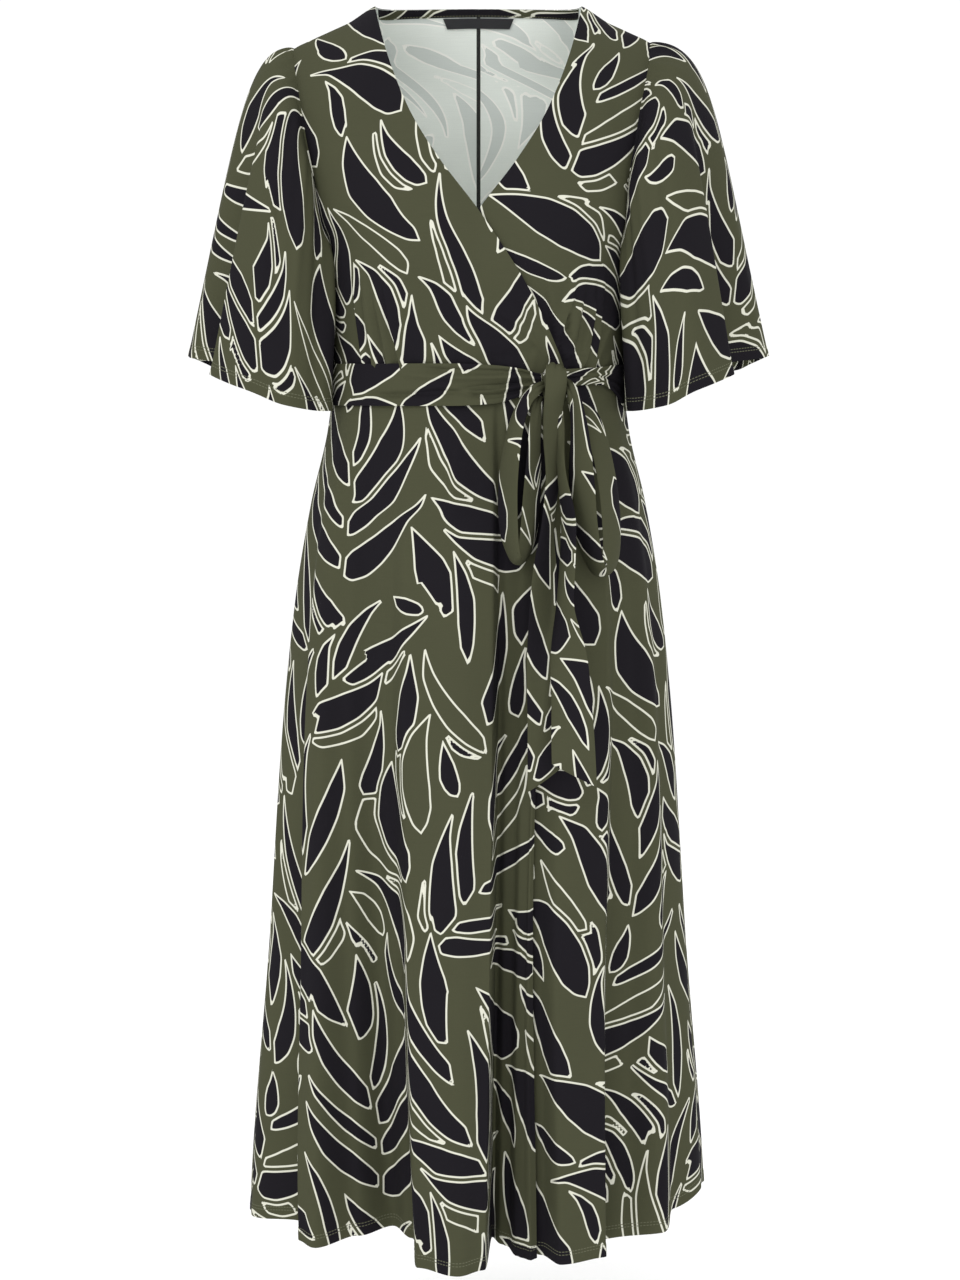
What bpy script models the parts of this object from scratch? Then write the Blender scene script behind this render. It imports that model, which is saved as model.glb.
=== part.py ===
"""Wrap dress in soft printed jersey, hollow, in the shape it has when it is worn.

Metres, +Z up.  The front faces -Y, and the wearer's right is at -X.  The origin lies midway
between the two shoulder neck points, where the shoulders carry the dress.

Every panel is a smooth surface of two parameters, one across and one down.  A thin wall is
laid on a grid of its points, and the wall's edges stand back a little from the next panel.
"""

import bisect
import math

import bmesh
import bpy
from mathutils import Matrix, Vector

# Cloth
WALL = 0.0012
SEAM_GAP = 0.0003
ARMHOLE_GAP = 0.0007
LAYER_GAP = 0.0018
NORMAL_STEP = 1e-3

# Heights
WAIST_Z = -0.378
HEM_Z = -1.257
UNDERARM_V = 0.60
PANEL_ROWS = (0.0, 0.04, 0.10, 0.18, 0.27, 0.36, 0.45, 0.52, 0.565, 0.60, 0.68, 0.77, 0.88, 1.0)

# Neck and shoulders
NECK_HALF_WIDTH = 0.105
NECK_POINT_RISE = 0.005
NECK_POINT_REACH = 0.030
BACK_NECK_Z = 0.012
BACK_NECK_DEPTH = 0.075
NECK_CURVE_END = 0.065
SHOULDER_SLOPE = 0.44
SHOULDER_ROLL = 0.09
SHOULDER_ROUNDNESS = 0.6
LEFT_ARMHOLE_SET_IN = 1.35
FRONT_TOP_V = 0.3
BACK_TOP_V = 0.4
SIDE_STRIP_U = 0.9
WRAP_UNDERLAP = 0.030
WRAP_STEP = 0.025
TORSO_SQUARENESS = 0.25

# Bust fullness on a general figure, from the cut and the tucks
BUST_X = 0.075
BUST_Z = -0.235
BUST_REACH = 0.055
BUST_FULLNESS = 0.010

# Tucks under the bust
TUCK_PLACES = (0.51, 0.56, 0.61, 0.66)
TUCK_PITCH = 0.05
TUCK_HEIGHT = 0.0018
TUCK_TOP_V = 0.62
TUCK_RISE_V = 0.20

# Sleeve
CAP_OUT = {-1: 0.047, 1: 0.064}
CAP_ROUND = {-1: 0.031, 1: 0.038}
GATHER_SPAN = 0.13
GATHER_COUNT = 10
GATHER_HEIGHT = 0.0022
GATHER_END_V = 0.5
GATHER_START_V = 0.06
GATHER_TILT = 0.8
FOLD_START_V = 0.20
SLEEVE_TOP_REACH = 0.22
SLEEVE_UNDER_REACH = 0.40
SLEEVE_TURNS = (0.19, 0.263, 0.345, 0.413)
SLEEVE_ROWS = (0.0, 0.05, 0.12, 0.20, 0.30, 0.42, 0.56, 0.70, 0.85, 1.0)

# Neck band and label
NECK_U = 0.5
BAND_V = 0.0213
BAND_WALL = 0.0010
LABEL_TOP_V = 0.0235
LABEL_LOW_V = 0.0490
LABEL_TOP_U = 0.170
LABEL_LOW_U = 0.150
FINISH_GAP = 0.0006

# Sash belt
BELT_CLEAR = 0.0026
BELT_CROWN = 0.0012
BELT_WALL = 0.0016
RIBBON_WALL = 0.0015
RIBBON_HOLLOW = 0.0020
KNOT_ANGLE = 28.5
KNOT_Z = -0.379
KNOT_HALF = (0.0105, 0.0110, 0.0180)
KNOT_SQUARENESS = 2.6

OLIVE = (0.085, 0.088, 0.045)
DARK_OLIVE = (0.060, 0.063, 0.034)
BLACK = (0.016, 0.016, 0.020)

RIGHT = -1
LEFT = 1


class Table:
    """Rows under named columns, read as smooth curves over the first column."""

    def __init__(self, columns, rows):
        self.keys = [row[0] for row in rows]
        self.columns = {name: [row[i] for row in rows] for i, name in enumerate(columns)}

    def slope(self, values, i):
        """Slope at a row that keeps the curve between its rows' values."""
        if i in (0, len(values) - 1):
            return 0.0
        before = (values[i] - values[i - 1]) / (self.keys[i] - self.keys[i - 1])
        after = (values[i + 1] - values[i]) / (self.keys[i + 1] - self.keys[i])
        return 2 * before * after / (before + after) if before * after > 0 else 0.0

    def at(self, column, key):
        values = self.columns[column]
        key = min(max(key, self.keys[0]), self.keys[-1])
        i = min(max(bisect.bisect_right(self.keys, key) - 1, 0), len(self.keys) - 2)
        span = self.keys[i + 1] - self.keys[i]
        t = (key - self.keys[i]) / span
        ease = t * t * (3 - 2 * t)
        bend = span * (t * (1 - t) ** 2 * self.slope(values, i) - t * t * (1 - t) * self.slope(values, i + 1))
        return values[i] + (values[i + 1] - values[i]) * ease + bend


# Half width, front depth and back depth of the bodice at a height
TORSO = Table(
    ("z", "half_width", "front_depth", "back_depth"),
    (
        (-0.378, 0.1500, 0.097, 0.088),
        (-0.340, 0.1510, 0.103, 0.090),
        (-0.300, 0.1525, 0.112, 0.094),
        (-0.250, 0.1555, 0.119, 0.100),
        (-0.210, 0.1710, 0.117, 0.104),
        (-0.160, 0.1860, 0.110, 0.106),
        (-0.100, 0.1980, 0.098, 0.104),
        (-0.036, 0.2050, 0.080, 0.098),
        (0.020, 0.2060, 0.066, 0.088),
    ),
)

# The edge of the right front, from the shoulder neck point along the wrap to the waist
WRAP_EDGE = Table(
    ("v", "x", "z"),
    (
        (0.00, -0.1050, 0.000),
        (0.10, -0.0925, -0.047),
        (0.22, -0.0700, -0.104),
        (0.34, -0.0390, -0.155),
        (0.46, -0.0010, -0.205),
        (0.56, 0.0230, -0.240),
        (0.66, 0.0440, -0.273),
        (0.78, 0.0640, -0.310),
        (0.90, 0.0800, -0.346),
        (1.00, 0.0920, -0.378),
    ),
)

# The outer edge of every bodice panel: the armhole, then the side seam
OUTER_EDGE = Table(
    ("v", "z", "angle"),
    (
        (0.00, -0.036, 66.5),
        (0.10, -0.070, 65.5),
        (0.22, -0.115, 64.0),
        (0.34, -0.160, 64.0),
        (0.46, -0.205, 67.5),
        (0.52, -0.228, 72.0),
        (0.56, -0.242, 79.0),
        (0.60, -0.250, 90.0),
        (0.66, -0.268, 90.0),
        (0.78, -0.306, 90.0),
        (0.90, -0.345, 90.0),
        (1.00, -0.378, 90.0),
    ),
)

# Sleeve hem, round from the outermost point: front 0.25, underarm 0.5, back 0.75
SLEEVE_HEM = Table(
    ("turn", "right_x", "right_y", "left_x", "left_y", "z"),
    (
        (0.00, 0.3000, 0.018, 0.3000, 0.018, -0.348),
        (0.07, 0.2880, -0.022, 0.2800, -0.022, -0.356),
        (0.12, 0.2660, -0.056, 0.2520, -0.060, -0.369),
        (0.20, 0.2360, -0.086, 0.2230, -0.088, -0.382),
        (0.30, 0.1930, -0.088, 0.1880, -0.086, -0.398),
        (0.38, 0.1570, -0.070, 0.1550, -0.070, -0.404),
        (0.42, 0.1495, -0.052, 0.1490, -0.052, -0.404),
        (0.46, 0.1530, -0.028, 0.1530, -0.028, -0.402),
        (0.50, 0.1590, 0.002, 0.1590, 0.002, -0.400),
        (0.56, 0.1620, 0.036, 0.1620, 0.036, -0.395),
        (0.64, 0.1790, 0.070, 0.1790, 0.070, -0.390),
        (0.74, 0.2150, 0.088, 0.2150, 0.088, -0.381),
        (0.84, 0.2560, 0.080, 0.2560, 0.080, -0.368),
        (0.93, 0.2880, 0.054, 0.2880, 0.054, -0.355),
        (1.00, 0.3000, 0.018, 0.3000, 0.018, -0.348),
    ),
)

# Folds that fall from the sleeve head: how far they stand out at the hem
SLEEVE_FOLDS = Table(
    ("turn", "out"),
    (
        (0.00, 0.000),
        (0.03, 0.000),
        (0.075, -0.030),
        (0.115, 0.002),
        (0.16, 0.000),
        (0.23, -0.003),
        (0.30, 0.000),
        (0.78, 0.000),
        (0.84, -0.016),
        (0.88, 0.003),
        (0.92, 0.000),
        (1.00, 0.000),
    ),
)

# Plain form of the skirt under its folds
SKIRT = Table(
    ("z", "half_width", "front_depth", "back_depth", "squareness"),
    (
        (-1.290, 0.2410, 0.120, 0.168, 0.02),
        (-0.950, 0.2188, 0.119, 0.151, 0.05),
        (-0.750, 0.2055, 0.117, 0.140, 0.10),
        (-0.600, 0.1900, 0.114, 0.129, 0.15),
        (-0.500, 0.1730, 0.110, 0.115, 0.20),
        (-0.420, 0.1545, 0.102, 0.097, 0.25),
        (-0.378, 0.1500, 0.097, 0.088, 0.25),
    ),
)

# Folds of the skirt, in one turn and a bit: from the free edge of the over panel, round by the
# wearer's right, the back and the left, to the edge of the under panel behind the over panel.
# Angles count from the middle of the front towards the wearer's left.  settle bends a fold's
# way from its waist angle to its hem angle, out is how far it stands out, and drop lowers the hem.
FOLDS = (
    # name, waist angle, hem angle, settle, waist out, hem out, drop
    ("free_edge", 36.0, 14.0, 4.0, 0.0000, 0.008, 0.002),
    ("edge_ridge", 29.0, 12.4, 3.0, 0.0000, 0.018, 0.003),
    ("pleat_valley", 22.0, 10.8, 2.0, -0.0004, 0.000, 0.000),
    ("pleat_ridge", 17.5, 9.2, 1.6, 0.0004, 0.008, 0.001),
    ("pleat_valley", 13.5, 7.4, 1.3, -0.0004, -0.020, -0.004),
    ("pleat_ridge", 10.0, 5.8, 1.0, 0.0004, -0.014, -0.004),
    ("deep_valley", 7.6, 3.6, 1.0, -0.0004, -0.036, -0.007),
    ("lobe_edge", 5.0, 1.2, 1.0, 0.0005, 0.040, 0.003),
    ("lobe_ridge", -6.0, -4.5, 1.0, 0.0000, 0.054, 0.005),
    ("lobe_side", -24.0, -13.6, 1.0, 0.0003, 0.036, 0.003),
    ("lobe_foot", -33.0, -17.1, 1.0, -0.0004, -0.026, -0.007),
    ("wide_valley", -41.0, -24.0, 1.0, 0.0000, -0.048, -0.012),
    ("valley_rise", -49.0, -33.0, 1.0, 0.0000, -0.022, -0.007),
    ("side_ridge", -58.0, -43.0, 1.0, 0.0003, 0.011, 0.000),
    ("side_step", -65.0, -49.0, 1.0, 0.0000, 0.005, -0.003),
    ("side_valley", -72.0, -53.5, 1.0, -0.0003, -0.024, -0.013),
    ("right_side", -90.0, -90.0, 1.0, 0.0000, 0.000, -0.006),
    ("back_ridge", -104.0, -105.0, 1.0, 0.0003, 0.010, 0.000),
    ("back_valley", -117.0, -119.0, 1.0, -0.0003, -0.020, 0.000),
    ("back_ridge", -132.0, -134.0, 1.0, 0.0003, 0.022, 0.000),
    ("back_valley", -147.0, -149.0, 1.0, -0.0003, -0.022, 0.000),
    ("back_ridge", -163.0, -165.0, 1.0, 0.0003, 0.018, 0.000),
    ("centre_back", -180.0, -180.0, 1.0, 0.0000, -0.012, 0.000),
    ("back_ridge", -197.0, -195.0, 1.0, 0.0003, 0.018, 0.000),
    ("back_valley", -213.0, -211.0, 1.0, -0.0003, -0.022, 0.000),
    ("back_ridge", -228.0, -226.0, 1.0, 0.0003, 0.022, 0.000),
    ("back_valley", -242.0, -240.0, 1.0, -0.0003, -0.010, -0.008),
    ("back_ridge", -255.0, -252.0, 1.0, 0.0003, 0.011, -0.028),
    ("left_side", -270.0, -270.0, 1.0, 0.0000, -0.004, -0.036),
    ("side_valley", -286.0, -298.0, 1.0, -0.0003, -0.014, -0.025),
    ("side_ridge", -293.0, -308.0, 1.0, 0.0003, 0.002, -0.009),
    ("wide_valley", -301.0, -320.0, 1.0, -0.0003, -0.020, -0.004),
    ("step_valley", -307.0, -326.0, 1.3, -0.0005, -0.024, -0.002),
    ("step_ridge", -312.0, -329.5, 1.6, 0.0003, 0.022, 0.001),
    ("front_lobe", -317.0, -341.0, 3.0, 0.0000, 0.030, 0.003),
    ("lap", -322.0, -344.5, 4.0, -0.0042, 0.002, 0.001),
    ("lap_lines", -352.0, -352.0, 1.0, -0.0050, -0.034, -0.004),
    ("lap_lines", -357.0, -357.5, 1.0, -0.0050, -0.052, -0.008),
    ("lap_lines", -372.0, -370.0, 1.0, -0.0050, -0.048, -0.008),
    ("lap_lines", -393.0, -377.0, 1.0, -0.0050, -0.052, -0.008),
    ("hidden_edge", -401.0, -384.0, 1.0, -0.0050, -0.066, -0.010),
)
FOLD_COLUMNS = ("name", "waist_angle", "hem_angle", "settle", "waist_out", "hem_out", "drop")
FOLD_GROWTH = 1.15
HEM_FACET = 0.020
SKIRT_ROWS = (0.0, 0.045, 0.10, 0.16, 0.23, 0.32, 0.43, 0.56, 0.70, 0.85, 1.0)

# Belt: the top and the bottom of the band round the waist
BELT = Table(
    ("angle", "top", "bottom"),
    (
        (-335.0, -0.3660, -0.3840),
        (-325.0, -0.3620, -0.3800),
        (-308.0, -0.3600, -0.3770),
        (-298.0, -0.3580, -0.3840),
        (-286.0, -0.3570, -0.4000),
        (-270.0, -0.3570, -0.4020),
        (-240.0, -0.3565, -0.3990),
        (-90.0, -0.3565, -0.3985),
        (-10.0, -0.3565, -0.3985),
        (5.0, -0.3580, -0.3970),
        (16.0, -0.3610, -0.3920),
        (25.0, -0.3660, -0.3840),
    ),
)

RIBBON_COLUMNS = ("x", "y", "z", "width", "turn")
BOW_LOOP_RIGHT = (
    (0.0636, -0.1050, -0.3710, 0.012, 10.0),
    (0.0500, -0.1140, -0.3720, 0.016, 22.0),
    (0.0380, -0.1220, -0.3840, 0.024, 42.0),
    (0.0310, -0.1290, -0.4150, 0.034, 60.0),
    (0.0280, -0.1340, -0.4700, 0.040, 62.0),
    (0.0300, -0.1370, -0.5200, 0.040, 62.0),
    (0.0380, -0.1390, -0.5490, 0.036, 70.0),
    (0.0480, -0.1360, -0.5300, 0.036, 65.0),
    (0.0530, -0.1320, -0.4800, 0.036, 62.0),
    (0.0555, -0.1260, -0.4300, 0.030, 60.0),
    (0.0570, -0.1160, -0.4020, 0.018, 45.0),
    (0.0606, -0.1050, -0.3900, 0.011, 20.0),
)
BOW_LOOP_LEFT = (
    (0.0866, -0.1000, -0.3710, 0.012, 10.0),
    (0.0930, -0.1120, -0.3725, 0.016, 22.0),
    (0.0990, -0.1220, -0.3860, 0.022, 40.0),
    (0.1010, -0.1290, -0.4200, 0.030, 52.0),
    (0.1015, -0.1330, -0.4700, 0.036, 48.0),
    (0.1060, -0.1350, -0.5200, 0.036, 50.0),
    (0.1180, -0.1350, -0.5580, 0.034, 60.0),
    (0.1300, -0.1320, -0.5500, 0.034, 60.0),
    (0.1310, -0.1270, -0.5100, 0.034, 58.0),
    (0.1250, -0.1190, -0.4600, 0.030, 50.0),
    (0.1130, -0.1080, -0.4140, 0.022, 30.0),
    (0.0990, -0.0990, -0.3965, 0.014, 12.0),
    (0.0862, -0.0960, -0.3890, 0.010, 10.0),
)
BELT_TAIL_RIGHT = (
    (0.0700, -0.1025, -0.3967, 0.012, -15.0),
    (0.0705, -0.1080, -0.4300, 0.017, -50.0),
    (0.0715, -0.1180, -0.4670, 0.020, -62.0),
    (0.0690, -0.1260, -0.5120, 0.026, -58.0),
    (0.0660, -0.1310, -0.5560, 0.034, -45.0),
    (0.0645, -0.1340, -0.6000, 0.038, -42.0),
    (0.0640, -0.1360, -0.6500, 0.040, -38.0),
    (0.0650, -0.1370, -0.7000, 0.041, -36.0),
    (0.0665, -0.1380, -0.7670, 0.042, -30.0),
)
BELT_TAIL_LEFT = (
    (0.0770, -0.1095, -0.3968, 0.013, 15.0),
    (0.0790, -0.1190, -0.4300, 0.020, 50.0),
    (0.0825, -0.1290, -0.4670, 0.024, 72.0),
    (0.0885, -0.1370, -0.5120, 0.028, 62.0),
    (0.0870, -0.1440, -0.5600, 0.034, 62.0),
    (0.0850, -0.1500, -0.5980, 0.040, 66.0),
    (0.0890, -0.1560, -0.6480, 0.044, 35.0),
    (0.0920, -0.1600, -0.7000, 0.045, 25.0),
    (0.0945, -0.1620, -0.7600, 0.045, 12.0),
)
RIGHT_TAIL_SLANT = -0.011
LEFT_TAIL_SLANT = 0.012
RIBBON_ROWS = 26


def mix(a, b, t):
    return a + (b - a) * t


def eased(t):
    """0 below 0, 1 above 1, and a smooth rise between."""
    t = min(max(t, 0.0), 1.0)
    return t * t * (3 - 2 * t)


def spaced(start, end, count):
    return [mix(start, end, i / (count - 1)) for i in range(count)]


# ---- Body of the bodice ----


def shoulder_z(x):
    """Height of the shoulder line over a place across; it turns up a little at the neck."""
    beyond = max(abs(x) - NECK_HALF_WIDTH, 0.0)
    return NECK_POINT_RISE * (1 - eased(beyond / NECK_POINT_REACH)) - SHOULDER_SLOPE * beyond


def back_top(x):
    """Height and depth of the back's upper edge: the neckline, then the shoulder seam."""
    inside = max(1 - (x / NECK_HALF_WIDTH) ** 2, 0.0)
    return mix(shoulder_z(x), BACK_NECK_Z, inside), BACK_NECK_DEPTH * math.sqrt(inside)


def bust(x, z):
    """How far the front stands out over the bust."""
    reach = ((abs(x) - BUST_X) ** 2 + (z - BUST_Z) ** 2) / BUST_REACH**2
    return BUST_FULLNESS * math.exp(-reach)


def torso_point(angle, z):
    """Point of the bodice's smooth form: angle in degrees from the front's middle to +X."""
    sine = math.sin(math.radians(angle))
    cosine = math.cos(math.radians(angle))
    x = TORSO.at("half_width", z) * sine
    front = cosine >= 0
    depth = TORSO.at("front_depth" if front else "back_depth", z)
    full = depth * abs(cosine) * (1 + TORSO_SQUARENESS * sine**2)
    top_z, top_y = (shoulder_z(x), 0.0) if front else back_top(x)
    if front:
        full += bust(x, z) * abs(cosine)
    below = min(max(top_z - z, 0.0) / SHOULDER_ROLL, 1.0)
    beside_neck = 1.0 if front else eased((abs(x) - NECK_CURVE_END) / (NECK_HALF_WIDTH - NECK_CURVE_END))
    roll = math.sin(math.pi / 2 * below) ** mix(1.0, SHOULDER_ROUNDNESS, beside_neck)
    y = mix(top_y, full, roll)
    return Vector((x, -y if front else y, z))


def outer_angle(side, v):
    """Angle of the armhole and side seam; the left armhole is set in further."""
    angle = OUTER_EDGE.at("angle", v)
    if side == LEFT:
        angle = 90 - (90 - angle) * LEFT_ARMHOLE_SET_IN
    return min(angle, 90.0)


def outer_z(side, v):
    """Height of the armhole and side seam, which starts on the shoulder line."""
    start = OUTER_EDGE.at("z", 0.0)
    across = TORSO.at("half_width", start) * math.sin(math.radians(outer_angle(side, 0.0)))
    shift = shoulder_z(across) - start
    return OUTER_EDGE.at("z", v) + shift * (1 - eased(v / FRONT_TOP_V))


def wrap_edge_x(z):
    """Place of the right front's edge at a height below the neck point."""
    low, high = 0.0, 1.0
    for _ in range(30):
        middle = (low + high) / 2
        if WRAP_EDGE.at("z", middle) > z:
            low = middle
        else:
            high = middle
    return WRAP_EDGE.at("x", low)


def tuck_wave(u, v):
    """Height of the tucks under the bust, which fan up from the waist."""
    rise = eased((v - TUCK_TOP_V) / TUCK_RISE_V)
    for place in TUCK_PLACES:
        away = abs(u - place) / (TUCK_PITCH / 2)
        if away < 1:
            return TUCK_HEIGHT * rise * (0.5 + 0.5 * math.cos(math.pi * away))
    return 0.0


def front_surface(side):
    """Front panel: u from the neck and wrap edge to the side, v from shoulder to waist."""

    def surface(u, v):
        edge_x, edge_z = WRAP_EDGE.at("x", v), WRAP_EDGE.at("z", v)
        inner = math.degrees(math.asin(edge_x / TORSO.at("half_width", edge_z)))
        angle = mix(inner, -outer_angle(side, v), u)
        z = mix(edge_z, outer_z(side, v), u)
        across = TORSO.at("half_width", z) * math.sin(math.radians(angle))
        z += (shoulder_z(across) - mix(0.0, outer_z(side, 0.0), u)) * (1 - eased(v / FRONT_TOP_V))
        point = torso_point(angle, z)
        stand = tuck_wave(u, v)
        if side == LEFT:
            point.x = -point.x
            covered = eased((wrap_edge_x(point.z) + WRAP_UNDERLAP - point.x) / WRAP_STEP)
            stand = mix(stand, -(WALL + LAYER_GAP), covered)
        out = Vector((point.x, point.y, 0.0)).normalized()
        return point + out * stand

    return surface


def back_surface(side):
    """Back panel: u from the centre-back seam to the side, v from neck and shoulder to waist."""

    def surface(u, v):
        half_width = TORSO.at("half_width", 0.0)
        neck = math.degrees(math.asin(NECK_HALF_WIDTH / half_width))
        outer = outer_angle(side, v)
        neck = mix(neck, outer / 2, eased(v / BACK_TOP_V))
        beyond = max(u - NECK_U, 0.0) / (1 - NECK_U)
        angle = mix(neck * min(u / NECK_U, 1.0), outer, beyond)
        top = back_top(half_width * math.sin(math.radians(angle)))[0]
        level = mix(BACK_NECK_Z, WAIST_Z, v)
        side_z = outer_z(side, v)
        z = mix(mix(level, side_z, u), level + top - BACK_NECK_Z, 1 - eased(v / BACK_TOP_V))
        z = mix(z, side_z, eased((u - SIDE_STRIP_U) / (1 - SIDE_STRIP_U)))
        point = torso_point(180 - angle, z)
        point.x *= side
        return point

    return surface


# ---- Sleeves ----


def armhole_point(side, turn):
    """Point of the armhole loop: 0 at the shoulder, 0.25 in front, 0.5 under the arm."""
    turn %= 1.0
    front = turn <= 0.5
    v = UNDERARM_V * (turn if front else 1 - turn) / 0.5
    angle = outer_angle(side, v)
    point = torso_point(angle if front else 180 - angle, outer_z(side, v))
    point.x *= side
    return point


def sleeve_surface(side):
    """Sleeve: turn round from its outermost line, v from the armhole to the hem."""
    name = "right" if side == RIGHT else "left"

    def surface(turn, v):
        turn %= 1.0
        start = armhole_point(side, turn)
        around = 2 * math.pi * turn
        out = Vector((side * math.cos(around), -math.sin(around), 0.0))
        start.x += side * ARMHOLE_GAP
        end_x = side * SLEEVE_HEM.at(name + "_x", turn)
        end = Vector((end_x, SLEEVE_HEM.at(name + "_y", turn), SLEEVE_HEM.at("z", turn)))
        cap = math.cos(math.pi * turn) ** 2
        first = start + out * CAP_OUT[side] * cap
        reach = mix(SLEEVE_UNDER_REACH, SLEEVE_TOP_REACH, cap)
        second = start.lerp(end, reach) + out * CAP_ROUND[side] * cap
        point = (
            start * (1 - v) ** 3 + first * 3 * v * (1 - v) ** 2
            + second * 3 * v * v * (1 - v) + end * v**3
        )
        point.x += side * SLEEVE_FOLDS.at("out", turn) * eased((v - FOLD_START_V) / (1 - FOLD_START_V))
        from_top = min(turn, 1 - turn)
        if from_top < GATHER_SPAN and v < GATHER_END_V:
            fade = min(v / GATHER_START_V, 1.0) * (1 - v / GATHER_END_V) ** 1.5
            fade *= 1 - eased((from_top / GATHER_SPAN - 0.7) / 0.3)
            wave = math.cos(math.pi * from_top / GATHER_SPAN * GATHER_COUNT)
            point += (out + Vector((0.0, 0.0, GATHER_TILT))) * GATHER_HEIGHT * wave * fade
        return point

    return surface


# ---- Skirt ----


def skirt_form(angle, z):
    """Point of the skirt's plain form at an angle and a height."""
    sine = math.sin(math.radians(angle))
    cosine = math.cos(math.radians(angle))
    column = "front_depth" if cosine >= 0 else "back_depth"
    swell = 1 + SKIRT.at("squareness", z) * sine**2
    return Vector((SKIRT.at("half_width", z) * sine, -SKIRT.at(column, z) * cosine * swell, z))


def fold_value(column, place):
    """A column of the fold rows between two rows; ridges and valleys are level there."""
    i = min(int(place), len(FOLDS) - 2)
    t = place - i
    if column not in ("waist_angle", "hem_angle"):
        t = 0.5 - 0.5 * math.cos(math.pi * t)
    number = FOLD_COLUMNS.index(column)
    return mix(FOLDS[i][number], FOLDS[i + 1][number], t)


def skirt_surface(place, v):
    """Skirt: place counts along the fold rows, v from the waist to the hem."""
    settled = 1 - (1 - v) ** fold_value("settle", place)
    angle = mix(fold_value("waist_angle", place), fold_value("hem_angle", place), settled)
    z = mix(WAIST_Z, HEM_Z, v) - fold_value("drop", place) * v * v
    plain = skirt_form(angle, z)
    out = (skirt_form(angle - 1, z) - skirt_form(angle + 1, z)).cross(Vector((0, 0, -1)))
    stand = mix(fold_value("waist_out", place), fold_value("hem_out", place), v**FOLD_GROWTH)
    return plain + out.normalized() * stand


def fold_place(name):
    return [row[0] for row in FOLDS].index(name)


def skirt_columns(first, last):
    """Places across a skirt panel, closer together where the hem is folded deeply."""
    places = []
    for row in range(fold_place(first), fold_place(last)):
        length = (skirt_surface(row + 1, 1.0) - skirt_surface(row, 1.0)).length
        steps = max(1, math.ceil(length / HEM_FACET))
        places += [row + i / steps for i in range(steps)]
    return places + [fold_place(last)]


# ---- Belt ----


def waist_form(angle, z):
    return torso_point(angle, z) if z > WAIST_Z else skirt_form(angle, z)


def belt_surface(angle, v):
    """Band round the waist: angle in degrees, v from its top to its bottom edge."""
    z = mix(BELT.at("top", angle), BELT.at("bottom", angle), v)
    plain = waist_form(angle, z)
    ahead, behind = waist_form(angle + 1, z), waist_form(angle - 1, z)
    out = Vector((0, 0, -1)).cross(ahead - behind).normalized()
    return plain + out * (BELT_CLEAR + BELT_WALL + BELT_CROWN * math.sin(math.pi * v))


def ribbon_value(rows, column, t):
    """A column of a ribbon's rows at t from 0 to 1, by a curve through its rows."""
    number = RIBBON_COLUMNS.index(column)
    place = t * (len(rows) - 1)
    i = min(int(place), len(rows) - 2)
    f = place - i
    a, b, c, d = (rows[min(max(i + k, 0), len(rows) - 1)][number] for k in (-1, 0, 1, 2))
    return b + f * (c - a) / 2 + f * f * (2 * a - 5 * b + 4 * c - d) / 2 + f**3 * (3 * b - a - 3 * c + d) / 2


def ribbon_surface(rows, slant):
    """Sash ribbon: u across from -1 to 1, v along it; slant cuts its end at an angle."""

    def centre(v):
        v = min(max(v, 0.0), 1.0)
        return Vector([ribbon_value(rows, name, v) for name in ("x", "y", "z")])

    def surface(u, v):
        along = (centre(v + 0.01) - centre(v - 0.01)).normalized()
        across = along.cross(Vector((0, 1, 0))).normalized()
        front = along.cross(across)
        turn = math.radians(ribbon_value(rows, "turn", v))
        wide = across * math.cos(turn) + front * math.sin(turn)
        half = ribbon_value(rows, "width", v) / 2
        point = centre(v) + wide * half * u + along.cross(wide) * RIBBON_HOLLOW * (1 - u * u)
        point.z -= slant * u * eased((v - 0.8) / 0.2)
        return point

    return surface


# ---- Solids ----


def normal_at(surface, u, v, u_range, v_range):
    """Direction square to a surface, from small steps that stay inside its ranges."""
    du = NORMAL_STEP * (u_range[1] - u_range[0])
    dv = NORMAL_STEP * (v_range[1] - v_range[0])
    across = surface(min(u + du, u_range[1]), v) - surface(max(u - du, u_range[0]), v)
    down = surface(u, min(v + dv, v_range[1])) - surface(u, max(v - dv, v_range[0]))
    return across.cross(down).normalized()


def wall_points(surface, across, down, sign, offset, wall, level_top, ring):
    """Rows of outer and inner points of a wall on a surface."""
    u_range = (across[0] - 1, across[-1] + 1) if ring else (across[0], across[-1])
    v_range = (down[0], down[-1])
    outer, inner = [], []
    for v in down:
        outer.append([])
        inner.append([])
        for u in across:
            point = surface(u, v)
            normal = normal_at(surface, u, v, u_range, v_range) * sign
            if v == down[0] and level_top and level_top(point):
                normal = Vector((normal.x, 0.0, normal.z)).normalized()
            outer[-1].append(point + normal * offset)
            inner[-1].append(point + normal * (offset - wall))
    return outer, inner


def stand_back(outer, inner, gap, ring):
    """Moves a wall's edges back from its neighbours by half a seam gap."""
    rows, columns = len(outer), len(outer[0])
    moves = {}
    for i in range(rows):
        for j in range(columns):
            move = Vector()
            if not ring and j in (0, columns - 1):
                beside = 1 if j == 0 else columns - 2
                move += (outer[i][beside] - outer[i][j]).normalized() * gap / 2
            if i in (0, rows - 1):
                beside = 1 if i == 0 else rows - 2
                move += (outer[beside][j] - outer[i][j]).normalized() * gap / 2
            moves[i, j] = move
    for (i, j), move in moves.items():
        outer[i][j] += move
        inner[i][j] += move


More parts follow.
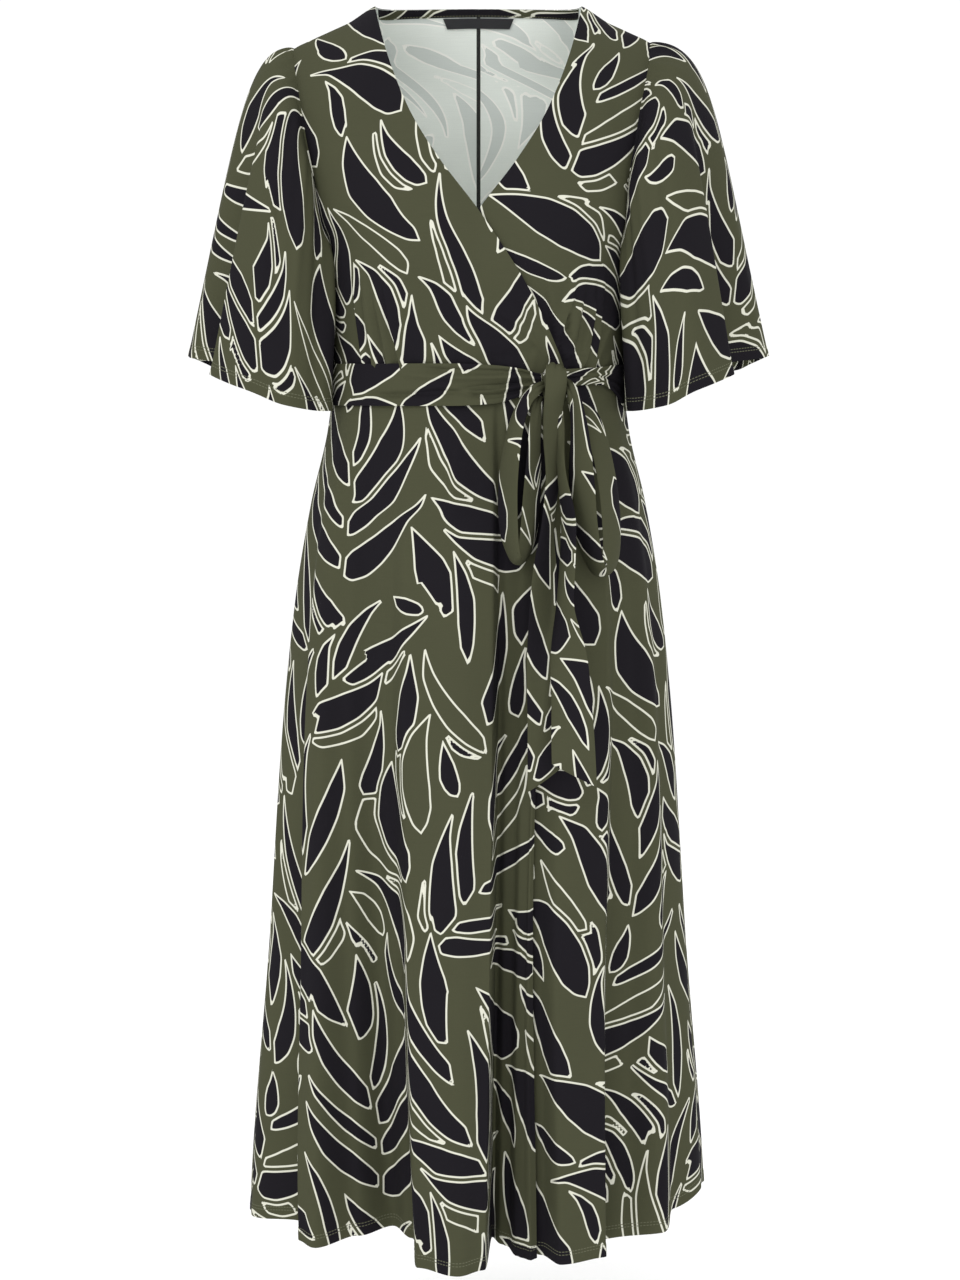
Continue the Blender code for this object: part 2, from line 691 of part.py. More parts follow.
def wall_faces(rows, columns, ring):
    """Faces that close outer and inner points, row by row, into one body."""
    count = rows * columns
    last = columns if ring else columns - 1
    faces = []
    for i in range(rows - 1):
        for j in range(last):
            k = (j + 1) % columns
            a, b, c, d = i * columns + j, i * columns + k, (i + 1) * columns + k, (i + 1) * columns + j
            faces.append((a, b, c, d))
            faces.append((count + a, count + d, count + c, count + b))
    for i in (0, rows - 1):
        for j in range(last):
            a, b = i * columns + j, i * columns + (j + 1) % columns
            faces.append((a, b, count + b, count + a))
    if not ring:
        for i in range(rows - 1):
            for j in (0, columns - 1):
                a, b = i * columns + j, (i + 1) * columns + j
                faces.append((a, b, count + b, count + a))
    return faces


def material(name, colour, roughness):
    made = bpy.data.materials.new(name)
    made.use_nodes = True
    shader = made.node_tree.nodes["Principled BSDF"]
    shader.inputs["Base Color"].default_value = (*colour, 1.0)
    shader.inputs["Roughness"].default_value = roughness
    shader.inputs["Metallic"].default_value = 0.0
    made.diffuse_color = (*colour, 1.0)
    return made


def solid(name, points, faces, colour, roughness=0.8):
    """One named object from points and faces, facing out and shaded smooth."""
    mesh = bpy.data.meshes.new(name)
    mesh.from_pydata([tuple(point) for point in points], [], faces)
    made = bmesh.new()
    made.from_mesh(mesh)
    bmesh.ops.recalc_face_normals(made, faces=made.faces)
    made.to_mesh(mesh)
    made.free()
    mesh.shade_smooth()
    mesh.set_sharp_from_angle(angle=math.radians(50))
    mesh.materials.append(material(name, colour, roughness))
    thing = bpy.data.objects.new(name, mesh)
    bpy.context.scene.collection.objects.link(thing)
    return thing


def cloth(
    name, surface, across, down, sign=1, offset=0.0, wall=WALL, colour=OLIVE, level_top=None, ring=False,
):
    """A thin wall on a surface: a named panel, or a tube where ring is true."""
    outer, inner = wall_points(surface, across, down, sign, offset, wall, level_top, ring)
    stand_back(outer, inner, SEAM_GAP, ring)
    points = [point for row in outer + inner for point in row]
    return solid(name, points, wall_faces(len(down), len(across), ring), colour)


# ---- Pieces ----


def on_shoulder(point):
    return abs(point.x) >= NECK_HALF_WIDTH - 1e-4


def make_fronts():
    edge = (0.0, 0.06, 0.12, 0.18, 0.25, 0.32, 0.39, 0.44)
    first, last = TUCK_PLACES[0] - TUCK_PITCH / 2, TUCK_PLACES[-1] + TUCK_PITCH / 2
    tucks = tuple(spaced(first, last, 2 * len(TUCK_PLACES) + 1))
    side = (0.74, 0.80, 0.86, 0.92, 1.0)
    across = edge + tucks + side
    cloth("front_bodice_right", front_surface(RIGHT), across, PANEL_ROWS, 1, level_top=on_shoulder)
    cloth("front_bodice_left", front_surface(LEFT), across, PANEL_ROWS, -1, level_top=on_shoulder)


def make_backs():
    neck = (0.0, 0.085, LABEL_TOP_U, 0.25, 0.33, 0.39, 0.43, 0.46, 0.485, NECK_U)
    across = neck + (0.58, 0.68, 0.78, 0.87, 0.94, 1.0)
    down = (0.0, BAND_V, LABEL_LOW_V) + PANEL_ROWS[2:]
    cloth("back_bodice_right", back_surface(RIGHT), across, down, -1, level_top=on_shoulder)
    cloth("back_bodice_left", back_surface(LEFT), across, down, 1, level_top=on_shoulder)
    make_neck_finish(neck)


def make_neck_finish(neck):
    """The binding inside the back neck, and the plain label that hangs from it."""
    surfaces = {side: back_surface(side) for side in (RIGHT, LEFT)}

    def band(u, v):
        return surfaces[LEFT if u > 0 else RIGHT](abs(u), v)

    def label(u, v):
        down = (v - LABEL_TOP_V) / (LABEL_LOW_V - LABEL_TOP_V)
        return band(u * mix(LABEL_TOP_U, LABEL_LOW_U, down), v)

    inside = -(WALL + FINISH_GAP)
    round_neck = [-u for u in neck[-2:0:-1]] + list(neck[:-1])
    cloth("back_neck_band", band, round_neck, (0.001, BAND_V), 1, inside, BAND_WALL, DARK_OLIVE)
    across = (-1.0, -0.5, 0.0, 0.5, 1.0)
    cloth("neck_label", label, across, (LABEL_TOP_V, LABEL_LOW_V), 1, inside, BAND_WALL, BLACK)


def make_sleeves():
    cap = spaced(-GATHER_SPAN, GATHER_SPAN, 2 * GATHER_COUNT + 1)
    front = [0.5 * v / UNDERARM_V for v in PANEL_ROWS if 0.17 < v < UNDERARM_V]
    front = sorted(front + list(SLEEVE_TURNS))
    rest = front + [0.5] + [1 - turn for turn in reversed(front)]
    for name, side in (("sleeve_right", RIGHT), ("sleeve_left", LEFT)):
        cloth(name, sleeve_surface(side), cap + rest, SLEEVE_ROWS, side, ring=True)


def make_skirt():
    panels = (
        ("skirt_front_over", "free_edge", "right_side"),
        ("skirt_back_right", "right_side", "centre_back"),
        ("skirt_back_left", "centre_back", "left_side"),
        ("skirt_front_under", "left_side", "hidden_edge"),
    )
    for name, first, last in panels:
        cloth(name, skirt_surface, skirt_columns(first, last), SKIRT_ROWS)


def make_belt():
    across = spaced(-335.0, 25.0, 61)[:-1]
    cloth("belt_band", belt_surface, across, (0.0, 0.5, 1.0), -1, 0.0, BELT_WALL, ring=True)


def signed_power(value, power):
    return math.copysign(abs(value) ** power, value)


def make_knot():
    """A squarish rounded lump against the outside of the band."""
    seat = belt_surface(KNOT_ANGLE - 360, 0.5)
    before, after = belt_surface(KNOT_ANGLE - 362, 0.5), belt_surface(KNOT_ANGLE - 358, 0.5)
    out = Vector((0, 0, -1)).cross(after - before).normalized()
    middle = seat + out * (KNOT_HALF[1] + SEAM_GAP)
    middle.z = KNOT_Z
    turn = Matrix.Rotation(math.atan2(out.x, -out.y), 3, "Z")
    power = 2 / KNOT_SQUARENESS
    rings, around = 9, 16
    points = []
    for i in range(1, rings):
        tilt = math.pi * i / rings - math.pi / 2
        for j in range(around):
            heading = 2 * math.pi * j / around
            flat = signed_power(math.cos(tilt), power)
            local = Vector((
                KNOT_HALF[0] * flat * signed_power(math.cos(heading), power),
                KNOT_HALF[1] * flat * signed_power(math.sin(heading), power),
                KNOT_HALF[2] * signed_power(math.sin(tilt), power),
            ))
            points.append(middle + turn @ local)
    faces = [tuple(range(around)), tuple(range((rings - 2) * around, (rings - 1) * around))]
    for i in range(rings - 2):
        for j in range(around):
            k = (j + 1) % around
            faces.append((i * around + j, i * around + k, (i + 1) * around + k, (i + 1) * around + j))
    solid("belt_knot", points, faces, DARK_OLIVE)


def make_ribbons():
    ribbons = (
        ("bow_loop_right", BOW_LOOP_RIGHT, 0.0),
        ("bow_loop_left", BOW_LOOP_LEFT, 0.0),
        ("belt_tail_right", BELT_TAIL_RIGHT, RIGHT_TAIL_SLANT),
        ("belt_tail_left", BELT_TAIL_LEFT, LEFT_TAIL_SLANT),
    )
    across = (-1.0, 0.0, 1.0)
    for name, rows, slant in ribbons:
        surface = ribbon_surface(rows, slant)
        down = spaced(0.0, 1.0, RIBBON_ROWS)
        cloth(name, surface, across, down, 1, RIBBON_WALL / 2, RIBBON_WALL, DARK_OLIVE)


def main():
    for thing in list(bpy.data.objects):
        bpy.data.objects.remove(thing)
    make_fronts()
    make_backs()
    make_sleeves()
    make_skirt()
    make_belt()
    make_knot()
    make_ribbons()


main()
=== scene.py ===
"""Wrap dress in printed jersey: its cloth, print, creases, stitching and studio.

Metres, +Z up.  The front faces -Y, and the wearer's right is at -X.  Every panel is a thin
shell on the same smooth surface as its solid, with the fine creases laid on top.
"""

import math

import bpy
import numpy as np
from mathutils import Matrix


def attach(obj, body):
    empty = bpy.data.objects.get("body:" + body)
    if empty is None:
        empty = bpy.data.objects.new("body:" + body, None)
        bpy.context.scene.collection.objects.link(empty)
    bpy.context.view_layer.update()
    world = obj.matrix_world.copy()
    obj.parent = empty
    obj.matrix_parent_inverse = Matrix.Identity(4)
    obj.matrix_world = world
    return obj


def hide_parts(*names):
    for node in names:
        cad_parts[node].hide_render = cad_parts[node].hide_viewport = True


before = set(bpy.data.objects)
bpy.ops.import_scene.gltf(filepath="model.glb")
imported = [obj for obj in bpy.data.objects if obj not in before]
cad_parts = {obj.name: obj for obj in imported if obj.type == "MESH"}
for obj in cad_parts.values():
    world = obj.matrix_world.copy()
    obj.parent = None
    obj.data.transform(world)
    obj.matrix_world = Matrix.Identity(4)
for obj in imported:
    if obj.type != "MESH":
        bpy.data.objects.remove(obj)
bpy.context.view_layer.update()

bl_info = {
    "name": "Wrap Dress",
    "version": (1, 0, 0),
    "blender": (4, 5, 0),
    "location": "3D View > Sidebar > Wrap Dress",
    "description": "Builds the cloth, print, sash and studio of a wrap dress",
    "category": "Add Mesh",
}

BODY = "root"
RIGHT = -1
LEFT = 1

# ---- Sizes shared with the solids ----

# In metres; a name ending in V or U is a share of a length or a width, and angles are in degrees
WALL = 0.0012
LAYER_GAP = 0.0018
ARMHOLE_GAP = 0.0007
WAIST_Z = -0.378
BELT_TOP_Z = -0.357
HEM_Z = -1.257
UNDERARM_V = 0.60
NECK_HALF_WIDTH = 0.105
NECK_POINT_RISE = 0.005
NECK_POINT_REACH = 0.030
BACK_NECK_Z = 0.012
BACK_NECK_DEPTH = 0.075
NECK_CURVE_END = 0.065
SHOULDER_SLOPE = 0.44
SHOULDER_ROLL = 0.09
SHOULDER_ROUNDNESS = 0.6
LEFT_ARMHOLE_SET_IN = 1.35
FRONT_TOP_V = 0.3
BACK_TOP_V = 0.4
SIDE_STRIP_U = 0.9
WRAP_UNDERLAP = 0.030
WRAP_STEP = 0.025
TORSO_SQUARENESS = 0.25
BUST_X = 0.075
BUST_Z = -0.235
BUST_REACH = 0.055
BUST_FULLNESS = 0.010
TUCK_PLACES = (0.51, 0.56, 0.61, 0.66)
TUCK_SHARES = (1.0, 0.75, 0.95, 0.6)
TUCK_PITCH = 0.05
TUCK_HEIGHT = 0.0024
TUCK_TOP_V = 0.62
TUCK_RISE_V = 0.20
CAP_OUT = {RIGHT: 0.047, LEFT: 0.064}
CAP_ROUND = {RIGHT: 0.031, LEFT: 0.038}
FOLD_START_V = 0.20
SLEEVE_TOP_REACH = 0.22
SLEEVE_UNDER_REACH = 0.40
NECK_U = 0.5
BAND_V = 0.0213
LABEL_TOP_V = 0.0235
LABEL_LOW_V = 0.0490
LABEL_TOP_U = 0.170
LABEL_LOW_U = 0.150
BELT_CLEAR = 0.0026
BELT_CROWN = 0.0012
BELT_WALL = 0.0016
RIBBON_WALL = 0.0015
RIBBON_HOLLOW = 0.0020
KNOT_ANGLE = 28.5
KNOT_Z = -0.379
KNOT_HALF = (0.0102, 0.0110, 0.0180)
KNOT_GAP = 0.0003
KNOT_SQUARENESS = 3.4
RIGHT_TAIL_SLANT = -0.011
LEFT_TAIL_SLANT = 0.012
RIBBON_END_V = 0.8
FOLD_GROWTH = 1.15


def mix(a, b, t):
    return a + (b - a) * t


def eased(t):
    """0 below 0, 1 above 1, and a smooth rise between."""
    t = np.clip(t, 0.0, 1.0)
    return t * t * (3 - 2 * t)


def bell(t):
    return np.exp(-t * t)


def pucker(t, trough, spread):
    """A narrow ridge between two shallow troughs."""
    return bell(t) - trough * bell(t / spread)


def between(table, rows, columns, down, over):
    """A table's values between two of its rows and two of its columns."""
    i, k = rows
    j, m = columns
    first = mix(table[i, j], table[i, m], over)
    return mix(first, mix(table[k, j], table[k, m], over), down)


def stack(*parts):
    return np.stack(np.broadcast_arrays(*parts), axis=-1)


def unit(vectors):
    return vectors / np.maximum(np.linalg.norm(vectors, axis=-1, keepdims=True), 1e-12)


class Table:
    """Rows under named columns, read as smooth curves over the first column."""

    def __init__(self, columns, rows):
        self.values = dict(zip(columns, np.array(rows, float).T))
        self.keys = self.values[columns[0]]
        self.slopes = {name: self.slopes_of(values) for name, values in self.values.items()}

    def slopes_of(self, values):
        """Slopes at the rows that keep the curve between its rows' values."""
        rise = np.diff(values) / np.diff(self.keys)
        before, after = rise[:-1], rise[1:]
        product = before * after
        whole = np.where(product > 0, before + after, 1.0)
        inner = np.where(product > 0, 2 * product / whole, 0.0)
        return np.concatenate(([0.0], inner, [0.0]))

    def at(self, column, key):
        keys, values, slopes = self.keys, self.values[column], self.slopes[column]
        key = np.clip(key, keys[0], keys[-1])
        i = np.clip(np.searchsorted(keys, key, side="right") - 1, 0, len(keys) - 2)
        span = keys[i + 1] - keys[i]
        t = (key - keys[i]) / span
        bend = span * (t * (1 - t) ** 2 * slopes[i] - t * t * (1 - t) * slopes[i + 1])
        return values[i] + (values[i + 1] - values[i]) * t * t * (3 - 2 * t) + bend


# Half width, front depth and back depth of the bodice at a height
TORSO = Table(
    ("z", "half_width", "front_depth", "back_depth"),
    (
        (-0.378, 0.1500, 0.097, 0.088),
        (-0.340, 0.1510, 0.103, 0.090),
        (-0.300, 0.1525, 0.112, 0.094),
        (-0.250, 0.1555, 0.119, 0.100),
        (-0.210, 0.1710, 0.117, 0.104),
        (-0.160, 0.1860, 0.110, 0.106),
        (-0.100, 0.1980, 0.098, 0.104),
        (-0.036, 0.2050, 0.080, 0.098),
        (0.020, 0.2060, 0.066, 0.088),
    ),
)

# The edge of the right front, from the shoulder neck point along the wrap to the waist
WRAP_EDGE = Table(
    ("v", "x", "z"),
    (
        (0.00, -0.1050, 0.000),
        (0.10, -0.0925, -0.047),
        (0.22, -0.0700, -0.104),
        (0.34, -0.0390, -0.155),
        (0.46, -0.0010, -0.205),
        (0.56, 0.0230, -0.240),
        (0.66, 0.0440, -0.273),
        (0.78, 0.0640, -0.310),
        (0.90, 0.0800, -0.346),
        (1.00, 0.0920, -0.378),
    ),
)

# The outer edge of every bodice panel: the armhole, then the side seam
OUTER_EDGE = Table(
    ("v", "z", "angle"),
    (
        (0.00, -0.036, 66.5),
        (0.10, -0.070, 65.5),
        (0.22, -0.115, 64.0),
        (0.34, -0.160, 64.0),
        (0.46, -0.205, 67.5),
        (0.52, -0.228, 72.0),
        (0.56, -0.242, 79.0),
        (0.60, -0.250, 90.0),
        (0.66, -0.268, 90.0),
        (0.78, -0.306, 90.0),
        (0.90, -0.345, 90.0),
        (1.00, -0.378, 90.0),
    ),
)

# Sleeve hem, round from the outermost point: front 0.25, underarm 0.5, back 0.75
SLEEVE_HEM = Table(
    ("turn", "right_x", "right_y", "left_x", "left_y", "z"),
    (
        (0.00, 0.3000, 0.018, 0.3000, 0.018, -0.348),
        (0.07, 0.2880, -0.022, 0.2800, -0.022, -0.356),
        (0.12, 0.2660, -0.056, 0.2520, -0.060, -0.369),
        (0.20, 0.2360, -0.086, 0.2230, -0.088, -0.382),
        (0.30, 0.1930, -0.088, 0.1880, -0.086, -0.398),
        (0.38, 0.1570, -0.070, 0.1550, -0.070, -0.404),
        (0.42, 0.1495, -0.052, 0.1490, -0.052, -0.404),
        (0.46, 0.1530, -0.028, 0.1530, -0.028, -0.402),
        (0.50, 0.1590, 0.002, 0.1590, 0.002, -0.400),
        (0.56, 0.1620, 0.036, 0.1620, 0.036, -0.395),
        (0.64, 0.1790, 0.070, 0.1790, 0.070, -0.390),
        (0.74, 0.2150, 0.088, 0.2150, 0.088, -0.381),
        (0.84, 0.2560, 0.080, 0.2560, 0.080, -0.368),
        (0.93, 0.2880, 0.054, 0.2880, 0.054, -0.355),
        (1.00, 0.3000, 0.018, 0.3000, 0.018, -0.348),
    ),
)

# Folds that fall from the sleeve head: how far they stand out at the hem
SLEEVE_FOLDS = Table(
    ("turn", "out"),
    (
        (0.00, 0.000),
        (0.03, 0.000),
        (0.075, -0.030),
        (0.115, 0.002),
        (0.16, 0.000),
        (0.23, -0.003),
        (0.30, 0.000),
        (0.78, 0.000),
        (0.84, -0.016),
        (0.88, 0.003),
        (0.92, 0.000),
        (1.00, 0.000),
    ),
)

# Plain form of the skirt under its folds
SKIRT = Table(
    ("z", "half_width", "front_depth", "back_depth", "squareness"),
    (
        (-1.290, 0.2410, 0.120, 0.168, 0.02),
        (-0.950, 0.2188, 0.119, 0.151, 0.05),
        (-0.750, 0.2055, 0.117, 0.140, 0.10),
        (-0.600, 0.1900, 0.114, 0.129, 0.15),
        (-0.500, 0.1730, 0.110, 0.115, 0.20),
        (-0.420, 0.1545, 0.102, 0.097, 0.25),
        (-0.378, 0.1500, 0.097, 0.088, 0.25),
    ),
)

# Folds of the skirt, in one turn and a bit: from the free edge of the over panel, round by the
# wearer's right, the back and the left, to the edge of the under panel behind the over panel.
# Angles count from the middle of the front towards the wearer's left.  settle bends a fold's
# way from its waist angle to its hem angle, out is how far it stands out, and drop lowers the hem.
FOLD_COLUMNS = ("name", "waist_angle", "hem_angle", "settle", "waist_out", "hem_out", "drop")
FOLDS = (
    ("free_edge", 36.0, 14.0, 4.0, 0.0000, 0.008, 0.002),
    ("edge_ridge", 29.0, 12.4, 3.0, 0.0000, 0.012, 0.003),
    ("pleat_valley", 22.0, 10.8, 2.0, -0.0004, 0.004, 0.003),
    ("pleat_ridge", 17.5, 9.2, 1.6, 0.0004, -0.001, 0.002),
    ("pleat_valley", 13.5, 7.4, 1.3, -0.0004, -0.017, -0.003),
    ("pleat_ridge", 10.0, 5.8, 1.0, 0.0004, -0.021, -0.004),
    ("deep_valley", 7.6, 3.6, 1.0, -0.0004, -0.036, -0.007),
    ("lobe_edge", 5.0, 1.2, 1.0, 0.0005, 0.040, 0.003),
    ("lobe_ridge", -6.0, -4.5, 1.0, 0.0000, 0.054, 0.005),
    ("lobe_side", -24.0, -13.6, 1.0, 0.0003, 0.036, 0.003),
    ("lobe_foot", -33.0, -17.1, 1.0, -0.0004, -0.026, -0.007),
    ("wide_valley", -41.0, -24.0, 1.0, 0.0000, -0.048, -0.012),
    ("valley_rise", -49.0, -33.0, 1.0, 0.0000, -0.022, -0.007),
    ("side_ridge", -58.0, -43.0, 1.0, 0.0003, 0.011, 0.000),
    ("side_step", -65.0, -49.0, 1.0, 0.0000, 0.005, -0.003),
    ("side_valley", -72.0, -53.5, 1.0, -0.0003, -0.024, -0.013),
    ("right_side", -90.0, -90.0, 1.0, 0.0000, 0.000, -0.006),
    ("back_ridge", -104.0, -105.0, 1.0, 0.0003, 0.010, 0.000),
    ("back_valley", -117.0, -119.0, 1.0, -0.0003, -0.020, 0.000),
    ("back_ridge", -132.0, -134.0, 1.0, 0.0003, 0.022, 0.000),
    ("back_valley", -147.0, -149.0, 1.0, -0.0003, -0.022, 0.000),
    ("back_ridge", -163.0, -165.0, 1.0, 0.0003, 0.018, 0.000),
    ("centre_back", -180.0, -180.0, 1.0, 0.0000, -0.012, 0.000),
    ("back_ridge", -197.0, -195.0, 1.0, 0.0003, 0.018, 0.000),
    ("back_valley", -213.0, -211.0, 1.0, -0.0003, -0.022, 0.000),
    ("back_ridge", -228.0, -226.0, 1.0, 0.0003, 0.022, 0.000),
    ("back_valley", -242.0, -240.0, 1.0, -0.0003, -0.010, -0.008),
    ("back_ridge", -255.0, -252.0, 1.0, 0.0003, 0.011, -0.028),
    ("left_side", -270.0, -270.0, 1.0, 0.0000, -0.004, -0.036),
    ("side_valley", -286.0, -298.0, 1.0, -0.0003, -0.014, -0.025),
    ("side_ridge", -293.0, -308.0, 1.0, 0.0003, 0.002, -0.009),
    ("wide_valley", -301.0, -320.0, 1.0, -0.0003, -0.020, -0.004),
    ("step_valley", -307.0, -326.0, 1.3, -0.0005, -0.024, -0.002),
    ("step_ridge", -312.0, -329.5, 1.6, 0.0003, 0.022, 0.001),
    ("front_lobe", -317.0, -341.0, 3.0, 0.0000, 0.030, 0.003),
    ("lap", -322.0, -344.5, 4.0, -0.0042, 0.002, 0.001),
    ("lap_lines", -352.0, -352.0, 1.0, -0.0050, -0.034, -0.004),
    ("lap_lines", -357.0, -357.5, 1.0, -0.0050, -0.052, -0.008),
    ("lap_lines", -372.0, -370.0, 1.0, -0.0050, -0.048, -0.008),
    ("lap_lines", -393.0, -377.0, 1.0, -0.0050, -0.052, -0.008),
    ("hidden_edge", -401.0, -384.0, 1.0, -0.0050, -0.066, -0.010),
)

# Belt: the top and the bottom of the band round the waist
BELT = Table(
    ("angle", "top", "bottom"),
    (
        (-335.0, -0.3660, -0.3840),
        (-325.0, -0.3620, -0.3800),
        (-308.0, -0.3600, -0.3770),
        (-298.0, -0.3580, -0.3840),
        (-286.0, -0.3570, -0.4000),
        (-270.0, -0.3570, -0.4020),
        (-240.0, -0.3565, -0.3990),
        (-90.0, -0.3565, -0.3985),
        (-10.0, -0.3565, -0.3985),
        (5.0, -0.3580, -0.3965),
        (16.0, -0.3615, -0.3895),
        (25.0, -0.3665, -0.3832),
    ),
)

# Middle line of each ribbon of the sash, its width and how far it turns from lying flat
RIBBON_COLUMNS = ("x", "y", "z", "width", "turn")
BOW_LOOP_RIGHT = (
    (0.0640, -0.1050, -0.3780, 0.010, 10.0),
    (0.0560, -0.1140, -0.3825, 0.014, 28.0),
    (0.0455, -0.1225, -0.3950, 0.020, 48.0),
    (0.0360, -0.1290, -0.4220, 0.028, 60.0),
    (0.0295, -0.1340, -0.4700, 0.036, 62.0),
    (0.0300, -0.1370, -0.5200, 0.040, 62.0),
    (0.0380, -0.1390, -0.5490, 0.036, 70.0),
    (0.0480, -0.1360, -0.5300, 0.036, 65.0),
    (0.0530, -0.1320, -0.4800, 0.036, 62.0),
    (0.0555, -0.1260, -0.4300, 0.028, 60.0),
    (0.0575, -0.1160, -0.4030, 0.016, 45.0),
    (0.0616, -0.1050, -0.3910, 0.011, 20.0),
)
BOW_LOOP_LEFT = (
    (0.0866, -0.1000, -0.3750, 0.010, 10.0),
    (0.0915, -0.1120, -0.3830, 0.014, 28.0),
    (0.0960, -0.1220, -0.3990, 0.020, 44.0),
    (0.0995, -0.1290, -0.4260, 0.028, 52.0),
    (0.1015, -0.1330, -0.4700, 0.034, 48.0),
    (0.1060, -0.1350, -0.5200, 0.036, 50.0),
    (0.1180, -0.1350, -0.5580, 0.034, 60.0),
    (0.1300, -0.1320, -0.5500, 0.034, 60.0),
    (0.1310, -0.1270, -0.5100, 0.034, 58.0),
    (0.1250, -0.1190, -0.4600, 0.030, 50.0),
    (0.1130, -0.1080, -0.4140, 0.022, 30.0),
    (0.0990, -0.0990, -0.3965, 0.014, 12.0),
    (0.0862, -0.0960, -0.3890, 0.010, 10.0),
)
BELT_TAIL_RIGHT = (
    (0.0765, -0.1060, -0.3592, 0.019, -12.0),
    (0.0765, -0.1125, -0.3602, 0.0205, -12.0),
    (0.0765, -0.1160, -0.3660, 0.0215, -12.0),
    (0.0765, -0.1170, -0.3790, 0.0215, -12.0),
    (0.0752, -0.1165, -0.3920, 0.0210, -12.0),
    (0.0735, -0.1160, -0.4060, 0.0195, -14.0),
    (0.0728, -0.1165, -0.4300, 0.0200, -28.0),
    (0.0735, -0.1200, -0.4670, 0.022, -52.0),
    (0.0690, -0.1260, -0.5120, 0.026, -58.0),
    (0.0660, -0.1310, -0.5560, 0.034, -45.0),
    (0.0645, -0.1340, -0.6000, 0.038, -42.0),
    (0.0640, -0.1360, -0.6500, 0.040, -38.0),
    (0.0650, -0.1370, -0.7000, 0.041, -36.0),
    (0.0665, -0.1380, -0.7670, 0.042, -30.0),
)
BELT_TAIL_LEFT = (
    (0.0770, -0.1095, -0.3968, 0.013, 15.0),
    (0.0790, -0.1145, -0.4300, 0.020, 50.0),
    (0.0825, -0.1265, -0.4670, 0.024, 72.0),
    (0.0885, -0.1370, -0.5120, 0.028, 62.0),
    (0.0870, -0.1440, -0.5600, 0.034, 62.0),
    (0.0850, -0.1500, -0.5980, 0.040, 66.0),
    (0.0890, -0.1560, -0.6480, 0.044, 35.0),
    (0.0920, -0.1600, -0.7000, 0.045, 25.0),
    (0.0945, -0.1620, -0.7600, 0.045, 12.0),
)

# ---- Surfaces ----


def shoulder_z(x):
    """Height of the shoulder line over a place across; it turns up a little at the neck."""
    beyond = np.maximum(np.abs(x) - NECK_HALF_WIDTH, 0.0)
    return NECK_POINT_RISE * (1 - eased(beyond / NECK_POINT_REACH)) - SHOULDER_SLOPE * beyond


def back_top(x):
    """Height and depth of the back's upper edge: the neckline, then the shoulder seam."""
    inside = np.maximum(1 - (x / NECK_HALF_WIDTH) ** 2, 0.0)
    return mix(shoulder_z(x), BACK_NECK_Z, inside), BACK_NECK_DEPTH * np.sqrt(inside)


def torso_point(angle, z):
    """Point of the bodice's smooth form: angle in degrees from the front's middle to +X."""
    sine = np.sin(np.radians(angle))
    cosine = np.cos(np.radians(angle))
    x = TORSO.at("half_width", z) * sine
    front = cosine >= 0
    depth = np.where(front, TORSO.at("front_depth", z), TORSO.at("back_depth", z))
    full = depth * np.abs(cosine) * (1 + TORSO_SQUARENESS * sine**2)
    reach = ((np.abs(x) - BUST_X) ** 2 + (z - BUST_Z) ** 2) / BUST_REACH**2
    full = full + np.where(front, BUST_FULLNESS * np.exp(-reach) * np.abs(cosine), 0.0)
    back_z, back_y = back_top(x)
    top_z = np.where(front, shoulder_z(x), back_z)
    top_y = np.where(front, 0.0, back_y)
    below = np.clip((top_z - z) / SHOULDER_ROLL, 0.0, 1.0)
    curve = eased((np.abs(x) - NECK_CURVE_END) / (NECK_HALF_WIDTH - NECK_CURVE_END))
    roll = np.sin(math.pi / 2 * below) ** mix(1.0, SHOULDER_ROUNDNESS, np.where(front, 1.0, curve))
    y = mix(top_y, full, roll)
    return stack(x, np.where(front, -y, y), z)


def outer_angle(side, v):
    """Angle of the armhole and side seam; the left armhole is set in further."""
    angle = OUTER_EDGE.at("angle", v)
    if side == LEFT:
        angle = 90 - (90 - angle) * LEFT_ARMHOLE_SET_IN
    return np.minimum(angle, 90.0)


def outer_z(side, v):
    """Height of the armhole and side seam, which starts on the shoulder line."""
    start = OUTER_EDGE.at("z", 0.0)
    across = TORSO.at("half_width", start) * np.sin(np.radians(outer_angle(side, 0.0)))
    shift = shoulder_z(across) - start
    return OUTER_EDGE.at("z", v) + shift * (1 - eased(v / FRONT_TOP_V))


def wrap_edge_x(z):
    """Place of the right front's edge at a height below the neck point."""
    down = np.linspace(0.0, 1.0, 400)
    return np.interp(-z, -WRAP_EDGE.at("z", down), WRAP_EDGE.at("x", down))


def tuck_wave(u, v):
    """Height of the tucks under the bust: each is a soft rise with a sharp far edge."""
    rise = eased((v - TUCK_TOP_V) / TUCK_RISE_V)
    stand = 0.0
    for place, share in zip(TUCK_PLACES, TUCK_SHARES):
        away = (u - place) / (TUCK_PITCH / 2)
        crest = eased((away + 1) / 1.5) * (1 - eased((away - 0.5) / 0.35))
        stand = stand + TUCK_HEIGHT * share * crest
    return stand * rise


def tuck_take(u, v):
    """Cloth that lies folded away in the tucks, half of it drawn in from either side."""
    rise = eased((v - TUCK_TOP_V) / TUCK_RISE_V)
    edges = [(u - place - TUCK_PITCH / 4) / (0.2 * TUCK_PITCH) for place in TUCK_PLACES]
    return TUCK_TAKE * sum(eased(edge) - 0.5 for edge in edges) * rise


